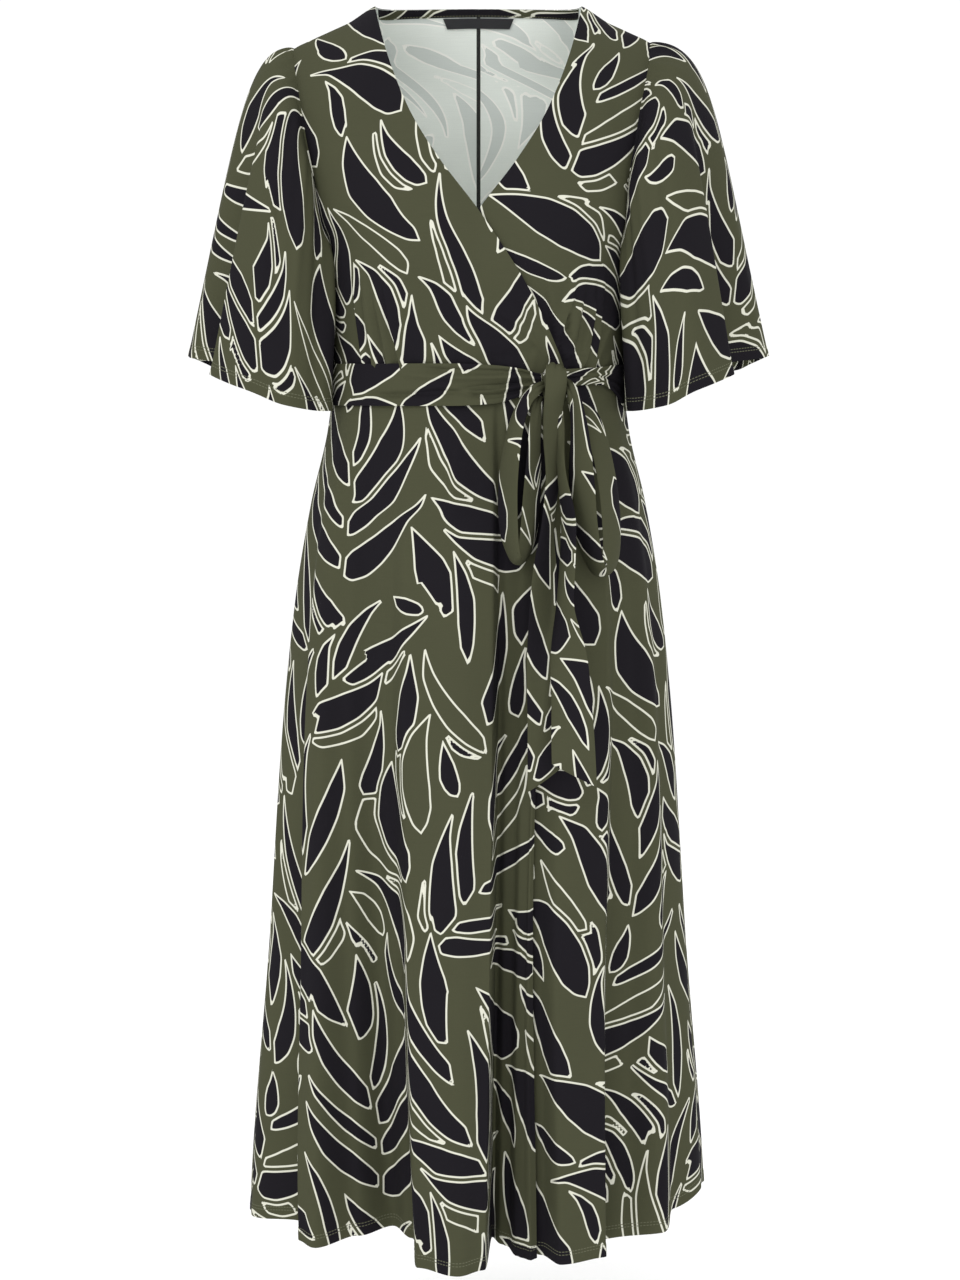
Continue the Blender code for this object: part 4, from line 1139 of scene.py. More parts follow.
THICKNESS = 0.0007
SEAM_GAP = 0.0001
SHARP_ANGLE = 50.0

# The points of a hidden grid that lie on turned cloth, along each of its sides
ALL = slice(None)
SEAM_CELLS = {
    "left": (ALL, slice(None, 2)),
    "right": (ALL, slice(-2, None)),
    "top": (slice(None, 1), ALL),
    "bottom": (slice(-1, None), ALL),
    "hem": (slice(-2, None), ALL),
    "sleeve_hem": (slice(-3, None), ALL),
}
SAMPLES_ACROSS = 3000


def lengths(points, axis):
    """Running lengths between points along one axis of their grid, from 0."""
    runs = np.linalg.norm(np.diff(points, axis=axis), axis=-1).cumsum(axis=axis)
    first = [(0, 0)] * runs.ndim
    first[axis] = (1, 0)
    return np.pad(runs, first)


class Flat:
    """Places on the cloth as it was before sewing, in metres from a reference line."""

    def __init__(self, form, angles, heights):
        """Measures a form of angle and height once, for panels that are read by both."""
        self.angles, self.heights = angles, heights
        points = form(*np.meshgrid(angles, heights))
        self.across, self.up = lengths(points, 1), lengths(points, 0)

    def at(self, angle, height):
        column = np.interp(angle, self.angles, np.arange(len(self.angles)))
        row = np.interp(height, self.heights, np.arange(len(self.heights)))
        j = np.minimum(column.astype(int), len(self.angles) - 2)
        i = np.minimum(row.astype(int), len(self.heights) - 2)
        cell = ((i, i + 1), (j, j + 1), row - i, column - j)
        return between(self.across, *cell), between(self.up, *cell)


def run_across(points, from_column=0):
    """Lengths along each row from one of its columns, and down each column from the top."""
    across = lengths(points, 1)
    return across - across[:, from_column : from_column + 1], -lengths(points, 0)


def even_places(surface, first, last, step, rows=(0.35, 0.7, 1.0)):
    """Places across a surface about a step of cloth apart, in a multiple of four steps."""
    fine = np.linspace(first, last, SAMPLES_ACROSS)
    length = sum(lengths(surface(fine, np.full(fine.shape, v)), 0) for v in rows) / len(rows)
    steps = 4 * round(length[-1] / step / 4)
    return np.interp(np.linspace(0.0, length[-1], steps + 1), length, fine)


def even_rows(length, step):
    """Even places from 0 to 1 for a length of cloth, in a multiple of four steps."""
    return np.linspace(0.0, 1.0, 4 * round(length / step / 4) + 1)


def grid_normals(points, ring):
    """Directions square to a grid of points, from each point's neighbours."""
    if ring:
        wrapped = np.concatenate((points[:, -1:], points, points[:, :1]), axis=1)
        across = (wrapped[:, 2:] - wrapped[:, :-2]) / 2
    else:
        across = np.gradient(points, axis=1)
    return unit(np.cross(across, np.gradient(points, axis=0)))


def stand_back(points, gap, ring):
    """Moves a grid's edges back from its neighbours by half a gap."""
    moved = points.copy()
    for edge, beside in ((0, 1), (-1, -2)):
        moved[edge] += unit(points[beside] - points[edge]) * gap / 2
        if not ring:
            moved[:, edge] += unit(points[:, beside] - points[:, edge]) * gap / 2
    return moved


def grid_quads(rows, columns, ring):
    """Corner numbers of a grid's faces."""
    numbers = np.arange(rows * columns).reshape(rows, columns)
    if ring:
        numbers = np.concatenate((numbers, numbers[:, :1]), axis=1)
    corners = (numbers[:-1, :-1], numbers[:-1, 1:], numbers[1:, 1:], numbers[1:, :-1])
    return np.stack(corners, axis=-1).reshape(-1, 4)


def rim_faces(outer, inner, step):
    """Faces between a row of outer points and the sparser row of inner points behind it."""
    near = [outer[k : len(outer) - step + k : step] for k in range(step + 1)]
    return np.stack((*near, inner[1:], inner[:-1]), axis=-1)


def make_mesh(name, points, faces):
    """A mesh from points and arrays of faces, each array with its own number of corners."""
    mesh = bpy.data.meshes.new(name)
    mesh.vertices.add(len(points))
    mesh.vertices.foreach_set("co", np.asarray(points, np.float32).ravel())
    sizes = np.concatenate([np.full(len(part), part.shape[1]) for part in faces])
    corners = np.concatenate([part.ravel() for part in faces]).astype(np.int32)
    mesh.loops.add(len(corners))
    mesh.loops.foreach_set("vertex_index", corners)
    mesh.polygons.add(len(sizes))
    mesh.polygons.foreach_set("loop_start", (np.cumsum(sizes) - sizes).astype(np.int32))
    mesh.update(calc_edges=True)
    if mesh.validate():
        raise RuntimeError(f"{name}: the mesh has faulty faces")
    mesh.shade_smooth()
    mesh.set_sharp_from_angle(angle=math.radians(SHARP_ANGLE))
    return mesh


def add_field(mesh, name, values):
    """Gives every point of a mesh a number, or a vector where values has rows of three."""
    kind = "FLOAT_VECTOR" if values.ndim == 2 else "FLOAT"
    field = mesh.attributes.new(name, kind, "POINT")
    field.data.foreach_set("vector" if values.ndim == 2 else "value", values.astype(np.float32).ravel())


def put_in_scene(name, data):
    made = bpy.data.objects.new(name, data)
    bpy.context.scene.collection.objects.link(made)
    return made


def place_piece(name, mesh, finish):
    """Puts a mesh in the scene as a piece of the dress."""
    mesh.materials.append(finish)
    piece = put_in_scene(name, mesh)
    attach(piece, BODY)
    return piece


def shell_faces(shape, hidden_shape, coarse, ring):
    """Faces of a shell: its shown side, its hidden side and the rims that close it."""
    count = shape[0] * shape[1]
    numbers = np.arange(count).reshape(shape)
    behind = np.arange(hidden_shape[0] * hidden_shape[1]).reshape(hidden_shape) + count
    # The hidden quads start at the same corner as the shown ones, so both split the same way
    hidden_quads = grid_quads(*hidden_shape, ring)[:, [0, 3, 2, 1]] + count
    faces = [grid_quads(*shape, ring), hidden_quads]
    rims = [(numbers[0], behind[0], 1, coarse[1]), (numbers[-1], behind[-1], -1, coarse[1])]
    if not ring:
        rims.append((numbers[:, -1], behind[:, -1], 1, coarse[0]))
        rims.append((numbers[:, 0], behind[:, 0], -1, coarse[0]))
    for line, hidden, way, step in rims:
        if ring:
            line, hidden = np.append(line, line[0]), np.append(hidden, hidden[0])
        faces.append(rim_faces(line[::way], hidden[::way], step)[:, ::-1])
    return faces


def shell_mesh(
    name, points, sign, cloth, edge, stand=0.0, thickness=THICKNESS, ring=False,
    level=None, coarse=(4, 1), both_sides=False, seams=(),
):
    """A closed thin shell on a grid of points, carrying its print and its places on the cloth.

    cloth is the pair of flat places, edge is how far each point lies from a finished edge, stand
    lifts the points, level marks those of the first row whose rim lies level, and coarse is every
    how many rows and columns the hidden side has a point.  Along its seams the hidden side has
    the face's colours, for the turned allowance.
    """
    points = stand_back(points, SEAM_GAP, ring)
    shape = points.shape[:2]
    outer = points + grid_normals(points, ring) * sign * np.broadcast_to(stand, shape)[..., None]
    normals = grid_normals(outer, ring) * sign
    if level is not None:
        normals[0][level, 1] = 0.0
        normals = unit(normals)
    pick = (slice(None, None, coarse[0]), slice(None, None, coarse[1]))
    inner = (outer - normals * np.broadcast_to(thickness, shape)[..., None])[pick]
    faces = shell_faces(shape, inner.shape[:2], coarse, ring)
    if sign < 0:
        faces = [part[:, ::-1] for part in faces]
    mesh = make_mesh(name, np.concatenate((outer.reshape(-1, 3), inner.reshape(-1, 3))), faces)
    x, y = (np.broadcast_to(part, shape) for part in cloth)
    fields = {"cloth": stack(x, y, edge), **print_fields(name, x, y)}
    for field, values in fields.items():
        add_field(mesh, field, np.concatenate((values.reshape(-1, 3), values[pick].reshape(-1, 3))))
    hidden = np.full(inner.shape[:2], 0.0 if both_sides else 1.0)
    for side in seams:
        hidden[SEAM_CELLS[side]] = 0.0
    add_field(mesh, "reverse", np.append(np.zeros(shape), hidden))
    return mesh


PRINTS = {}


def print_fields(name, x, y):
    """The print's fields on a piece, from the piece's own place on the printed cloth."""
    if not PRINTS:
        PRINTS["leaves"] = LeafPrint().draw_all()
    place_x, place_y, degrees = PRINT_PLACES.get(name, UNPRINTED)
    turn = math.radians(degrees)
    across = x * math.cos(turn) - y * math.sin(turn) + place_x
    up = x * math.sin(turn) + y * math.cos(turn) + place_y
    return PRINTS["leaves"].at(across, up)


# ---- Finishes ----


class Wiring:
    """Adds and joins the nodes of one material."""

    def __init__(self, name):
        self.material = bpy.data.materials.new(name)
        self.material.use_nodes = True
        self.tree = self.material.node_tree
        self.shader = self.tree.nodes["Principled BSDF"]

    def put(self, socket, value):
        if isinstance(value, bpy.types.NodeSocket):
            self.tree.links.new(value, socket)
        else:
            socket.default_value = value

    def add(self, kind, inputs=(), **settings):
        node = self.tree.nodes.new(kind)
        for name, value in settings.items():
            setattr(node, name, value)
        for socket, value in dict(inputs).items():
            self.put(node.inputs[socket], value)
        return node

    def math(self, operation, *values):
        return self.add("ShaderNodeMath", dict(enumerate(values)), operation=operation).outputs[0]

    def least(self, first, *others):
        for other in others:
            first = self.math("MINIMUM", first, other)
        return first

    def most(self, first, *others):
        for other in others:
            first = self.math("MAXIMUM", first, other)
        return first

    def field(self, name):
        """The three parts of a vector attribute."""
        read = self.add("ShaderNodeAttribute", attribute_name=name)
        return self.add("ShaderNodeSeparateXYZ", {0: read.outputs["Vector"]}).outputs

    def step(self, value, low, high, start=0.0, end=1.0):
        """start below low, end above high, and a smooth change between."""
        inputs = {"Value": value, "From Min": low, "From Max": high, "To Min": start, "To Max": end}
        return self.add("ShaderNodeMapRange", inputs, interpolation_type="SMOOTHSTEP").outputs[0]

    def blend(self, factor, a, b):
        return self.add("ShaderNodeMix", {"Factor": factor, 6: a, 7: b}, data_type="RGBA").outputs[2]

    def noise(self, x, y, across, up, detail=2.0):
        """Noise on the cloth, with its own size across and up."""
        x, y = self.math("MULTIPLY", x, 1 / across), self.math("MULTIPLY", y, 1 / up)
        place = self.add("ShaderNodeCombineXYZ", {0: x, 1: y}).outputs[0]
        inputs = {"Vector": place, "Scale": 1.0, "Detail": detail}
        return self.add("ShaderNodeTexNoise", inputs).outputs["Fac"]

    def wave(self, value, pitch):
        return self.math("SINE", self.math("MULTIPLY", value, 2 * math.pi / pitch))

    def shade(self, colour, value):
        """A colour made lighter or darker."""
        return self.add("ShaderNodeVectorMath", {0: colour, 3: value}, operation="SCALE").outputs[0]

    def vary(self, light, noise, amount):
        """Light that noise makes up to half an amount brighter or darker."""
        return self.math("MULTIPLY_ADD", noise, amount, self.math("SUBTRACT", light, amount / 2))

    def finished(self, colour, roughness, others, relief=None):
        """The material, with its shader's inputs set or joined.

        others names more inputs, and relief is the bumps' strength, their depth and their height.
        """
        inputs = {"Base Color": colour, "Roughness": roughness, **others}
        if relief:
            bumps = dict(zip(("Strength", "Distance", "Height"), relief))
            inputs["Normal"] = self.add("ShaderNodeBump", bumps).outputs[0]
        for name, value in inputs.items():
            self.put(self.shader.inputs[name], value)
        return self.material


WALE_PITCH = 0.00075
COURSE_PITCH = 0.00060
PRINT_SOFTNESS = 0.00022
HOLLOW_SOFTNESS = 0.0001
STITCH_LINES = (0.0098, 0.0128)
STITCH_PITCH = 0.0034
STITCH_HALF = 0.00042
STITCH_EDGE = (0.6, 1.3)
STITCH_ENDS = (-0.75, -0.35)
STITCH_GROOVE = 0.0016
BINDING_STITCH = 0.0016

# Sizes of the knit's noises across and up, and their detail
STREAKS = (0.030, 0.0011, 3.0)
PATCHES = (0.060, 0.085)
GRAIN = (0.0009, 0.0007, 1.0)
PATCH_LIGHT = 0.10
GRAIN_LIGHT = 0.14
# Painted shade: how much lighter and darker the knit's wales and courses are painted in the colour
KNIT_PAINTED_SHADE = 0.02
KNIT_RELIEF = 0.04
GRAIN_RELIEF = 0.25
STREAK_RELIEF = 0.35

# Where a noise starts and ends to count, and the roughness, gloss and bumps of each finish
NOISE_RANGE = (0.2, 0.8)
JERSEY_ROUGHNESS = (0.74, 0.86)
JERSEY_SHINE = {"Specular IOR Level": 0.03, "Sheen Weight": 0.005, "Sheen Roughness": 0.6}
JERSEY_BUMPS = (0.35, 0.0004)
RIB_PITCH = 0.0006
WARP_PITCH = 0.0004
FLECK = (0.004, 0.0006)
LABEL_ROUGHNESS = (0.42, 0.56)
LABEL_BUMPS = (0.5, 0.0002)
THREAD_PITCH = 0.0016
THREAD_SLANT = 0.9
THREAD_BUMPS = (0.8, 0.0004)


def jersey(name, looks, stitch_lines=STITCH_LINES):
    """Printed jersey: the leaves, the knit with painted shade along its wales and courses, faint
    streaks, the stitching and the pale wrong side.
    """
    w = Wiring(name)
    x, y, edge = w.field("cloth")
    fields = [w.field(layer) for layer in LAYERS]
    taken = w.most(*(w.least(left, right) for left, right, _ in fields))
    hollow = fields[0][2]
    half = looks.line_width / 2
    lines = w.step(w.math("ABSOLUTE", taken), half - PRINT_SOFTNESS, half + PRINT_SOFTNESS, 1.0, 0.0)
    inside = w.step(taken, -PRINT_SOFTNESS, PRINT_SOFTNESS)
    leaves = w.least(inside, w.step(hollow, -HOLLOW_SOFTNESS, HOLLOW_SOFTNESS, 1.0, 0.0))

    wales, courses = w.wave(x, WALE_PITCH), w.wave(y, COURSE_PITCH)
    knit = w.math("MULTIPLY_ADD", courses, 0.5, wales)
    streaks, patches, grain = (w.noise(x, y, *sizes) for sizes in (STREAKS, PATCHES, GRAIN))
    light = w.vary(1.0, streaks, looks.streaks)
    light = w.vary(light, patches, PATCH_LIGHT)
    light = w.vary(light, grain, GRAIN_LIGHT)
    # From here light also holds painted shade of the knit, lighter on its wales and darker between them,
    # following the knit's relief
    light = w.math("MULTIPLY_ADD", knit, KNIT_PAINTED_SHADE, light)

    def printed(ground, leaf, line):
        return w.blend(lines, w.blend(leaves, (*ground, 1.0), (*leaf, 1.0)), (*line, 1.0))

    face = printed(looks.ground, looks.leaf, looks.line)
    wrong = printed(looks.wrong_side, looks.wrong_leaf, looks.wrong_line)
    reverse = w.add("ShaderNodeAttribute", attribute_name="reverse").outputs["Fac"]
    colour = w.shade(w.blend(w.step(reverse, 0.9, 1.0), face, wrong), light)

    relief = w.math("MULTIPLY_ADD", knit, KNIT_RELIEF, w.math("MULTIPLY", grain, GRAIN_RELIEF))
    relief = w.math("MULTIPLY_ADD", streaks, STREAK_RELIEF, relief)
    if stitch_lines:
        beside = w.least(*(w.math("ABSOLUTE", w.math("SUBTRACT", edge, line)) for line in stitch_lines))
        on_line = w.step(beside, *(STITCH_HALF * share for share in STITCH_EDGE), 1.0, 0.0)
        dash = w.step(w.wave(x, STITCH_PITCH), *STITCH_ENDS)
        thread = w.math("MULTIPLY", on_line, dash)
        colour = w.blend(thread, colour, (*looks.thread, 1.0))
        groove = w.step(beside, 0.0, STITCH_GROOVE, -1.0, 0.0)
        relief = w.math("ADD", w.math("ADD", relief, groove), thread)
    roughness = w.step(patches, *NOISE_RANGE, *JERSEY_ROUGHNESS)
    return w.finished(colour, roughness, JERSEY_SHINE, (*JERSEY_BUMPS, relief))


def label_satin(looks):
    """Plain woven black tape."""
    w = Wiring("label satin")
    x, y, _ = w.field("cloth")
    ribs = w.math("MULTIPLY_ADD", w.wave(y, RIB_PITCH), 0.5, w.wave(x, WARP_PITCH))
    fleck = w.noise(x, y, *FLECK)
    colour = w.shade(tuple(looks.label), w.math("MULTIPLY_ADD", fleck, 0.5, 0.75))
    roughness = w.step(fleck, *NOISE_RANGE, *LABEL_ROUGHNESS)
    return w.finished(colour, roughness, {"Sheen Weight": 0.05}, (*LABEL_BUMPS, ribs))


def seam_thread(looks):
    """Overlocked thread that binds the centre-back seam: slanting loops along its length, with painted
    shade between the loops and a painted highlight on their crests.
    """
    w = Wiring("seam thread")
    x, y, _ = w.field("cloth")
    slant = w.math("MULTIPLY_ADD", w.math("ABSOLUTE", x), THREAD_SLANT, y)
    loops = w.wave(slant, THREAD_PITCH)
    # Painted shade and highlight: the thread is darker between its loops and lighter on their crests
    colour = w.shade(tuple(looks.seam), w.step(loops, -0.9, 0.7, 0.45, 1.15))
    roughness = w.step(loops, -1.0, 1.0, 0.9, 0.7)
    return w.finished(colour, roughness, {"Sheen Weight": 0.08}, (*THREAD_BUMPS, loops))


def studio_paint(name, colour, amount):
    """Matt paint of the studio floor, with the faintest clouding."""
    w = Wiring(name)
    place = w.add("ShaderNodeTexCoord").outputs["Object"]
    cloud = w.add("ShaderNodeTexNoise", {"Vector": place, "Scale": 1.2, "Detail": 2.0}).outputs["Fac"]
    clouded = w.shade(tuple(colour), w.step(cloud, *NOISE_RANGE, 1 - amount, 1.0))
    return w.finished(clouded, 0.9, {"Specular IOR Level": 0.1})


# ---- Pieces ----

# Where each piece lies on the printed cloth: across, up and turned by some degrees
PRINT_PLACES = {
    "front_bodice_right": (0.31, 0.18, 6.0),
    "front_bodice_left": (0.05, 0.44, -4.0),
    "back_bodice_right": (0.42, 0.07, 178.0),
    "back_bodice_left": (0.12, 0.35, 184.0),
    "sleeve_right": (0.20, 0.52, 3.0),
    "sleeve_left": (0.46, 0.29, -5.0),
    "skirt_front_over": (0.10, 0.22, 0.0),
    "skirt_front_under": (0.33, 0.05, 2.0),
    "skirt_back_right": (0.24, 0.31, 180.0),
    "skirt_back_left": (0.40, 0.11, 182.0),
    "back_neck_band": (0.15, 0.27, 90.0),
    "belt_band": (0.08, 0.60, 92.0),
    "belt_knot": (0.107, 0.052, 0.0),
    "bow_loop_right": (0.320, 0.599, 16.0),
    "bow_loop_left": (0.290, 0.088, 15.3),
    "belt_tail_right": (0.516, 0.427, 14.8),
    "belt_tail_left": (0.294, 0.426, 2.6),
}
UNPRINTED = (0.0, 0.0, 0.0)

# Each sheet's cut: its width, its length, its area, how it is held and what it hangs from
SHEETS = {
    "front_bodice_right": (0.275, 0.415, 0.0780, "draped", ("back_bodice_right",)),
    "front_bodice_left": (0.275, 0.415, 0.0740, "draped", ("back_bodice_left",)),
    "back_bodice_right": (0.225, 0.430, 0.0785, "draped", ()),
    "back_bodice_left": (0.215, 0.430, 0.0745, "draped", ()),
    "back_neck_band": (0.235, 0.011, None, "stretched", ("back_bodice_right", "back_bodice_left")),
    "neck_label": (0.064, 0.013, None, "hung", ("back_neck_band",)),
    "sleeve_right": (0.560, 0.370, 0.1300, "gathered", ("front_bodice_right", "back_bodice_right")),
    "sleeve_left": (0.570, 0.385, 0.1450, "gathered", ("front_bodice_left", "back_bodice_left")),
    "skirt_front_over": (0.640, 0.910, 0.3650, "hung", ("front_bodice_right",)),
    "skirt_front_under": (0.600, 0.910, 0.3450, "hung", ("front_bodice_left",)),
    "skirt_back_right": (0.450, 0.900, 0.2680, "hung", ("back_bodice_right",)),
    "skirt_back_left": (0.450, 0.900, 0.2640, "hung", ("back_bodice_left",)),
    "belt_band": (0.840, 0.042, None, "stretched", ("skirt_front_over", "skirt_back_right")),
    "bow_loop_right": (0.036, 0.410, None, "folded", ("belt_knot",)),
    "bow_loop_left": (0.034, 0.430, None, "folded", ("belt_knot",)),
    "belt_tail_right": (0.042, 0.400, None, "hung", ("belt_knot",)),
    "belt_tail_left": (0.045, 0.400, None, "hung", ("belt_knot",)),
}

# Cloth between the points of each grid, and the lengths and widths that the steps are counted on
BODICE_STEP = 0.0023
SLEEVE_STEP = 0.0025
SKIRT_STEP = 0.0028
SKIRT_BACK_STEP = 0.0030
BELT_STEP = 0.0024
RIBBON_STEP = 0.0020
BODICE_LENGTH = 0.40
FRONT_WIDTH = 0.24
BACK_WIDTH = 0.21
SLEEVE_LENGTH = 0.36
SKIRT_LENGTH = 0.885

# How deep and how wide the cloth dips along a seam, and an edge too far off for stitching
SEAM_DIP = 0.0007
SEAM_REACH = 0.0040
FAR_EDGE = 0.2


def sew(node, mesh, finish):
    """Puts the cloth of one sewn piece in its solid's place and hides the solid."""
    piece = place_piece(node + "_cloth", mesh, finish)
    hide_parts(node)
    if node in SHEETS:
        width, length, area, held, rests_on = SHEETS[node]
        list(rests_on)
    return piece


def seam_dips(points, sides):
    """Presses the cloth down along its seams: left, right, top or bottom of the grid."""
    across, up = run_across(points)
    runs = {"left": across, "right": across[:, -1:] - across, "top": -up, "bottom": up - up[-1:]}
    return -sum(SEAM_DIP * bell(runs[side] / SEAM_REACH) for side in sides)


# The bodice measured every two degrees all round, from under the waist to over the shoulders
BODICE_FLAT = Flat(torso_point, np.linspace(-92.0, 272.0, 183), np.linspace(-0.40, 0.03, 130))


def bodice_places(points, front):
    """Flat places of bodice points, across from the middle and up from the waist."""
    x, z = points[..., 0], points[..., 2]
    angle = np.degrees(np.arcsin(np.clip(x / TORSO.at("half_width", z), -1.0, 1.0)))
    return BODICE_FLAT.at(angle if front else 180 - angle, z)


# Small puckers where the fronts are gathered to the waist: place across, half width and length
PUCKERS = (
    (-0.141, 0.0030, 0.020), (-0.132, 0.0026, 0.014), (-0.121, 0.0034, 0.026), (-0.088, 0.0026, 0.016),
    (-0.058, 0.0030, 0.024), (-0.049, 0.0024, 0.014), (-0.037, 0.0032, 0.030), (-0.026, 0.0024, 0.016),
    (-0.014, 0.0030, 0.022), (-0.003, 0.0024, 0.013), (0.010, 0.0034, 0.030), (0.021, 0.0026, 0.018),
    (0.033, 0.0030, 0.026), (0.044, 0.0026, 0.020), (0.054, 0.0032, 0.034), (0.066, 0.0028, 0.024),
    (0.077, 0.0030, 0.030), (0.092, 0.0030, 0.034), (0.104, 0.0028, 0.026), (0.116, 0.0034, 0.030),
    (0.128, 0.0028, 0.018), (0.140, 0.0030, 0.020),
)
PUCKER_HEIGHT = 0.0015
PUCKER_LEAN = 4.0
TUCK_SHARPER = 1.3
TUCK_TROUGH = (0.6, 1.8)
NECK_MARGIN = 1e-4


def pucker_stand(points):
    """How far the gathers at the waist lift or sink each point of a front."""
    x, rise = points[..., 0], points[..., 2] - BELT_TOP_Z
    stand = 0.0
    for place, half_width, length in PUCKERS:
        away = (x - place - PUCKER_LEAN * place * rise) / half_width
        stand = stand + pucker(away, *TUCK_TROUGH) * (1 - eased(rise / length))
    return PUCKER_HEIGHT * stand


def make_bodice(finish):
    v = even_rows(BODICE_LENGTH, BODICE_STEP)
    panels = (
        ("front_bodice_right", front_surface(RIGHT), 1),
        ("front_bodice_left", front_surface(LEFT), -1),
        ("back_bodice_right", back_surface(RIGHT), -1),
        ("back_bodice_left", back_surface(LEFT), 1),
    )
    for name, surface, sign in panels:
        front = "front" in name
        across, down = np.meshgrid(even_rows(FRONT_WIDTH if front else BACK_WIDTH, BODICE_STEP), v)
        points = surface(across, down)
        sides = ("right", "top") if front else ("left", "right", "top")
        stand = crease_stand(name, points) + seam_dips(points, sides)
        flat_x, flat_y = bodice_places(points, front)
        flat_x = flat_x + lap_take(name, points)
        if front:
            stand = stand + pucker_stand(points) + TUCK_SHARPER * tuck_wave(across, down)
            flat_x = flat_x - sign * tuck_take(across, down)
        shoulder = np.abs(points[0, :, 0]) >= NECK_HALF_WIDTH - NECK_MARGIN
        mesh = shell_mesh(
            name, points, sign, (flat_x, flat_y), FAR_EDGE, stand,
            level=shoulder, coarse=(1, 1) if front else (2, 1), seams=("right", "bottom"),
        )
        sew(name, mesh, finish)


SEAM_HALF_WIDTH = 0.0021
SEAM_STAND = 0.0014
SEAM_START_V = 0.4 * BAND_V
SEAM_ROWS = 401
SEAM_COLUMNS = 7
SEAM_CROWN = 0.00045
LOOP_HEIGHT = 0.0001
LOOP_PITCH = 0.0032


def make_seam_thread(finish):
    """The overlocked allowance of the centre-back seam, flat against the inside of the back."""
    v = np.linspace(SEAM_START_V, 1.0, SEAM_ROWS)
    u = np.linspace(-1.0, 1.0, SEAM_COLUMNS)
    line = back_surface(RIGHT)(np.zeros(v.shape), v)[:, None, :]
    points = np.repeat(line, SEAM_COLUMNS, axis=1)
    points[..., 0] += u * SEAM_HALF_WIDTH
    points[..., 1] -= SEAM_STAND
    down = run_across(points)[1]
    across = points[..., 0]
    loops = np.sin(2 * math.pi * (down + np.abs(across)) / LOOP_PITCH)
    stand = SEAM_CROWN * (1 - u**4) + LOOP_HEIGHT * loops
    name = "back_seam_thread"
    mesh = shell_mesh(name, points, -1, (across, down), FAR_EDGE, stand, both_sides=True)
    return place_piece(name, mesh, finish)


BAND_OFFSET = 0.0020
BAND_THICKNESS = 0.0009
BAND_REACH_U = 0.985 * NECK_U
BAND_START_V = 0.0005
BAND_COLUMNS = 161
BAND_ROWS = 9
BAND_ROLL = 0.0004
LABEL_OFFSET = 0.0022
LABEL_THICKNESS = 0.0006
LABEL_COLUMNS = 49
LABEL_ROWS = 13
LABEL_CURL = 0.0006
LABEL_WAVE = 0.0003


def neck_point(u, v):
    """Inside of the back neck, from the wearer's right at -1 to the left at 1."""
    sides = {side: back_surface(side)(np.abs(u), v) for side in (RIGHT, LEFT)}
    return np.where((u > 0)[..., None], sides[LEFT], sides[RIGHT])


def make_neck_band(finish):
    """The binding inside the back neck, a little rounded across."""
    columns = np.linspace(-BAND_REACH_U, BAND_REACH_U, BAND_COLUMNS)
    u, v = np.meshgrid(columns, np.linspace(BAND_START_V, BAND_V, BAND_ROWS))
    points = neck_point(u, v)
    across, up = run_across(points, BAND_COLUMNS // 2)
    roll = BAND_ROLL * np.sin(math.pi * np.linspace(0.0, 1.0, BAND_ROWS))[:, None]
    mesh = shell_mesh(
        "back_neck_band", points, -1, (across, up), up - up[-1:],
        BAND_OFFSET + roll, BAND_THICKNESS, both_sides=True,
    )
    sew("back_neck_band", mesh, finish)


def make_neck_label(finish):
    """The plain label, with its lower edge curled off the cloth."""
    u, v = np.meshgrid(np.linspace(-1.0, 1.0, LABEL_COLUMNS), np.linspace(0.0, 1.0, LABEL_ROWS))
    points = neck_point(u * mix(LABEL_TOP_U, LABEL_LOW_U, v), mix(LABEL_TOP_V, LABEL_LOW_V, v))
    curl = LABEL_CURL * v * v + LABEL_WAVE * np.sin(u * 5.0) * v
    mesh = shell_mesh(
        "neck_label", points, -1, run_across(points, LABEL_COLUMNS // 2), FAR_EDGE,
        LABEL_OFFSET + curl, LABEL_THICKNESS, both_sides=True,
    )
    sew("neck_label", mesh, finish)


# Gathers of a sleeve head: place round from the outermost line, half width, height, how far
# down each runs, and how much it leans
GATHER_COLUMNS = ("turn", "half_width", "height", "length", "lean")
GATHERS = (
    (-0.112, 0.0075, 0.0020, 0.16, 0.010),
    (-0.090, 0.0070, 0.0026, 0.30, 0.014),
    (-0.069, 0.0065, 0.0022, 0.20, 0.008),
    (-0.048, 0.0070, 0.0028, 0.38, 0.010),
    (-0.027, 0.0060, 0.0022, 0.22, 0.004),
    (-0.008, 0.0065, 0.0026, 0.32, 0.000),
    (0.012, 0.0065, 0.0024, 0.24, -0.004),
    (0.031, 0.0065, 0.0030, 0.42, -0.008),
    (0.050, 0.0060, 0.0022, 0.20, -0.008),
    (0.068, 0.0070, 0.0028, 0.34, -0.012),
    (0.088, 0.0065, 0.0024, 0.22, -0.014),
    (0.108, 0.0075, 0.0022, 0.28, -0.012),
)
GATHER_TAKE = 0.0036
GATHER_TAKE_V = 0.45
GATHER_REACH = 1.4
GATHER_TROUGH = (0.5, 2.2)
GATHER_AT_SEAM = 0.35
GATHER_FULL_V = 0.05


def gathers(turn, v, flip):
    """Each gather of a sleeve head, and how many of its widths each point lies from it."""
    from_top = np.where(turn > 0.5, turn - 1, turn) * flip
    for row in GATHERS:
        gather = dict(zip(GATHER_COLUMNS, row))
        away = from_top - gather["turn"] - gather["lean"] * v / gather["length"]
        yield gather, away / gather["half_width"]


def gather_stand(turn, v, flip):
    """Puckers that start at the armhole seam and fade down the sleeve."""
    stand = 0.0
    for gather, away in gathers(turn, v, flip):
        fade = mix(GATHER_AT_SEAM, 1.0, eased(v / GATHER_FULL_V)) * (1 - eased(v / gather["length"]))
        stand = stand + gather["height"] * fade * pucker(away, *GATHER_TROUGH)
    return stand


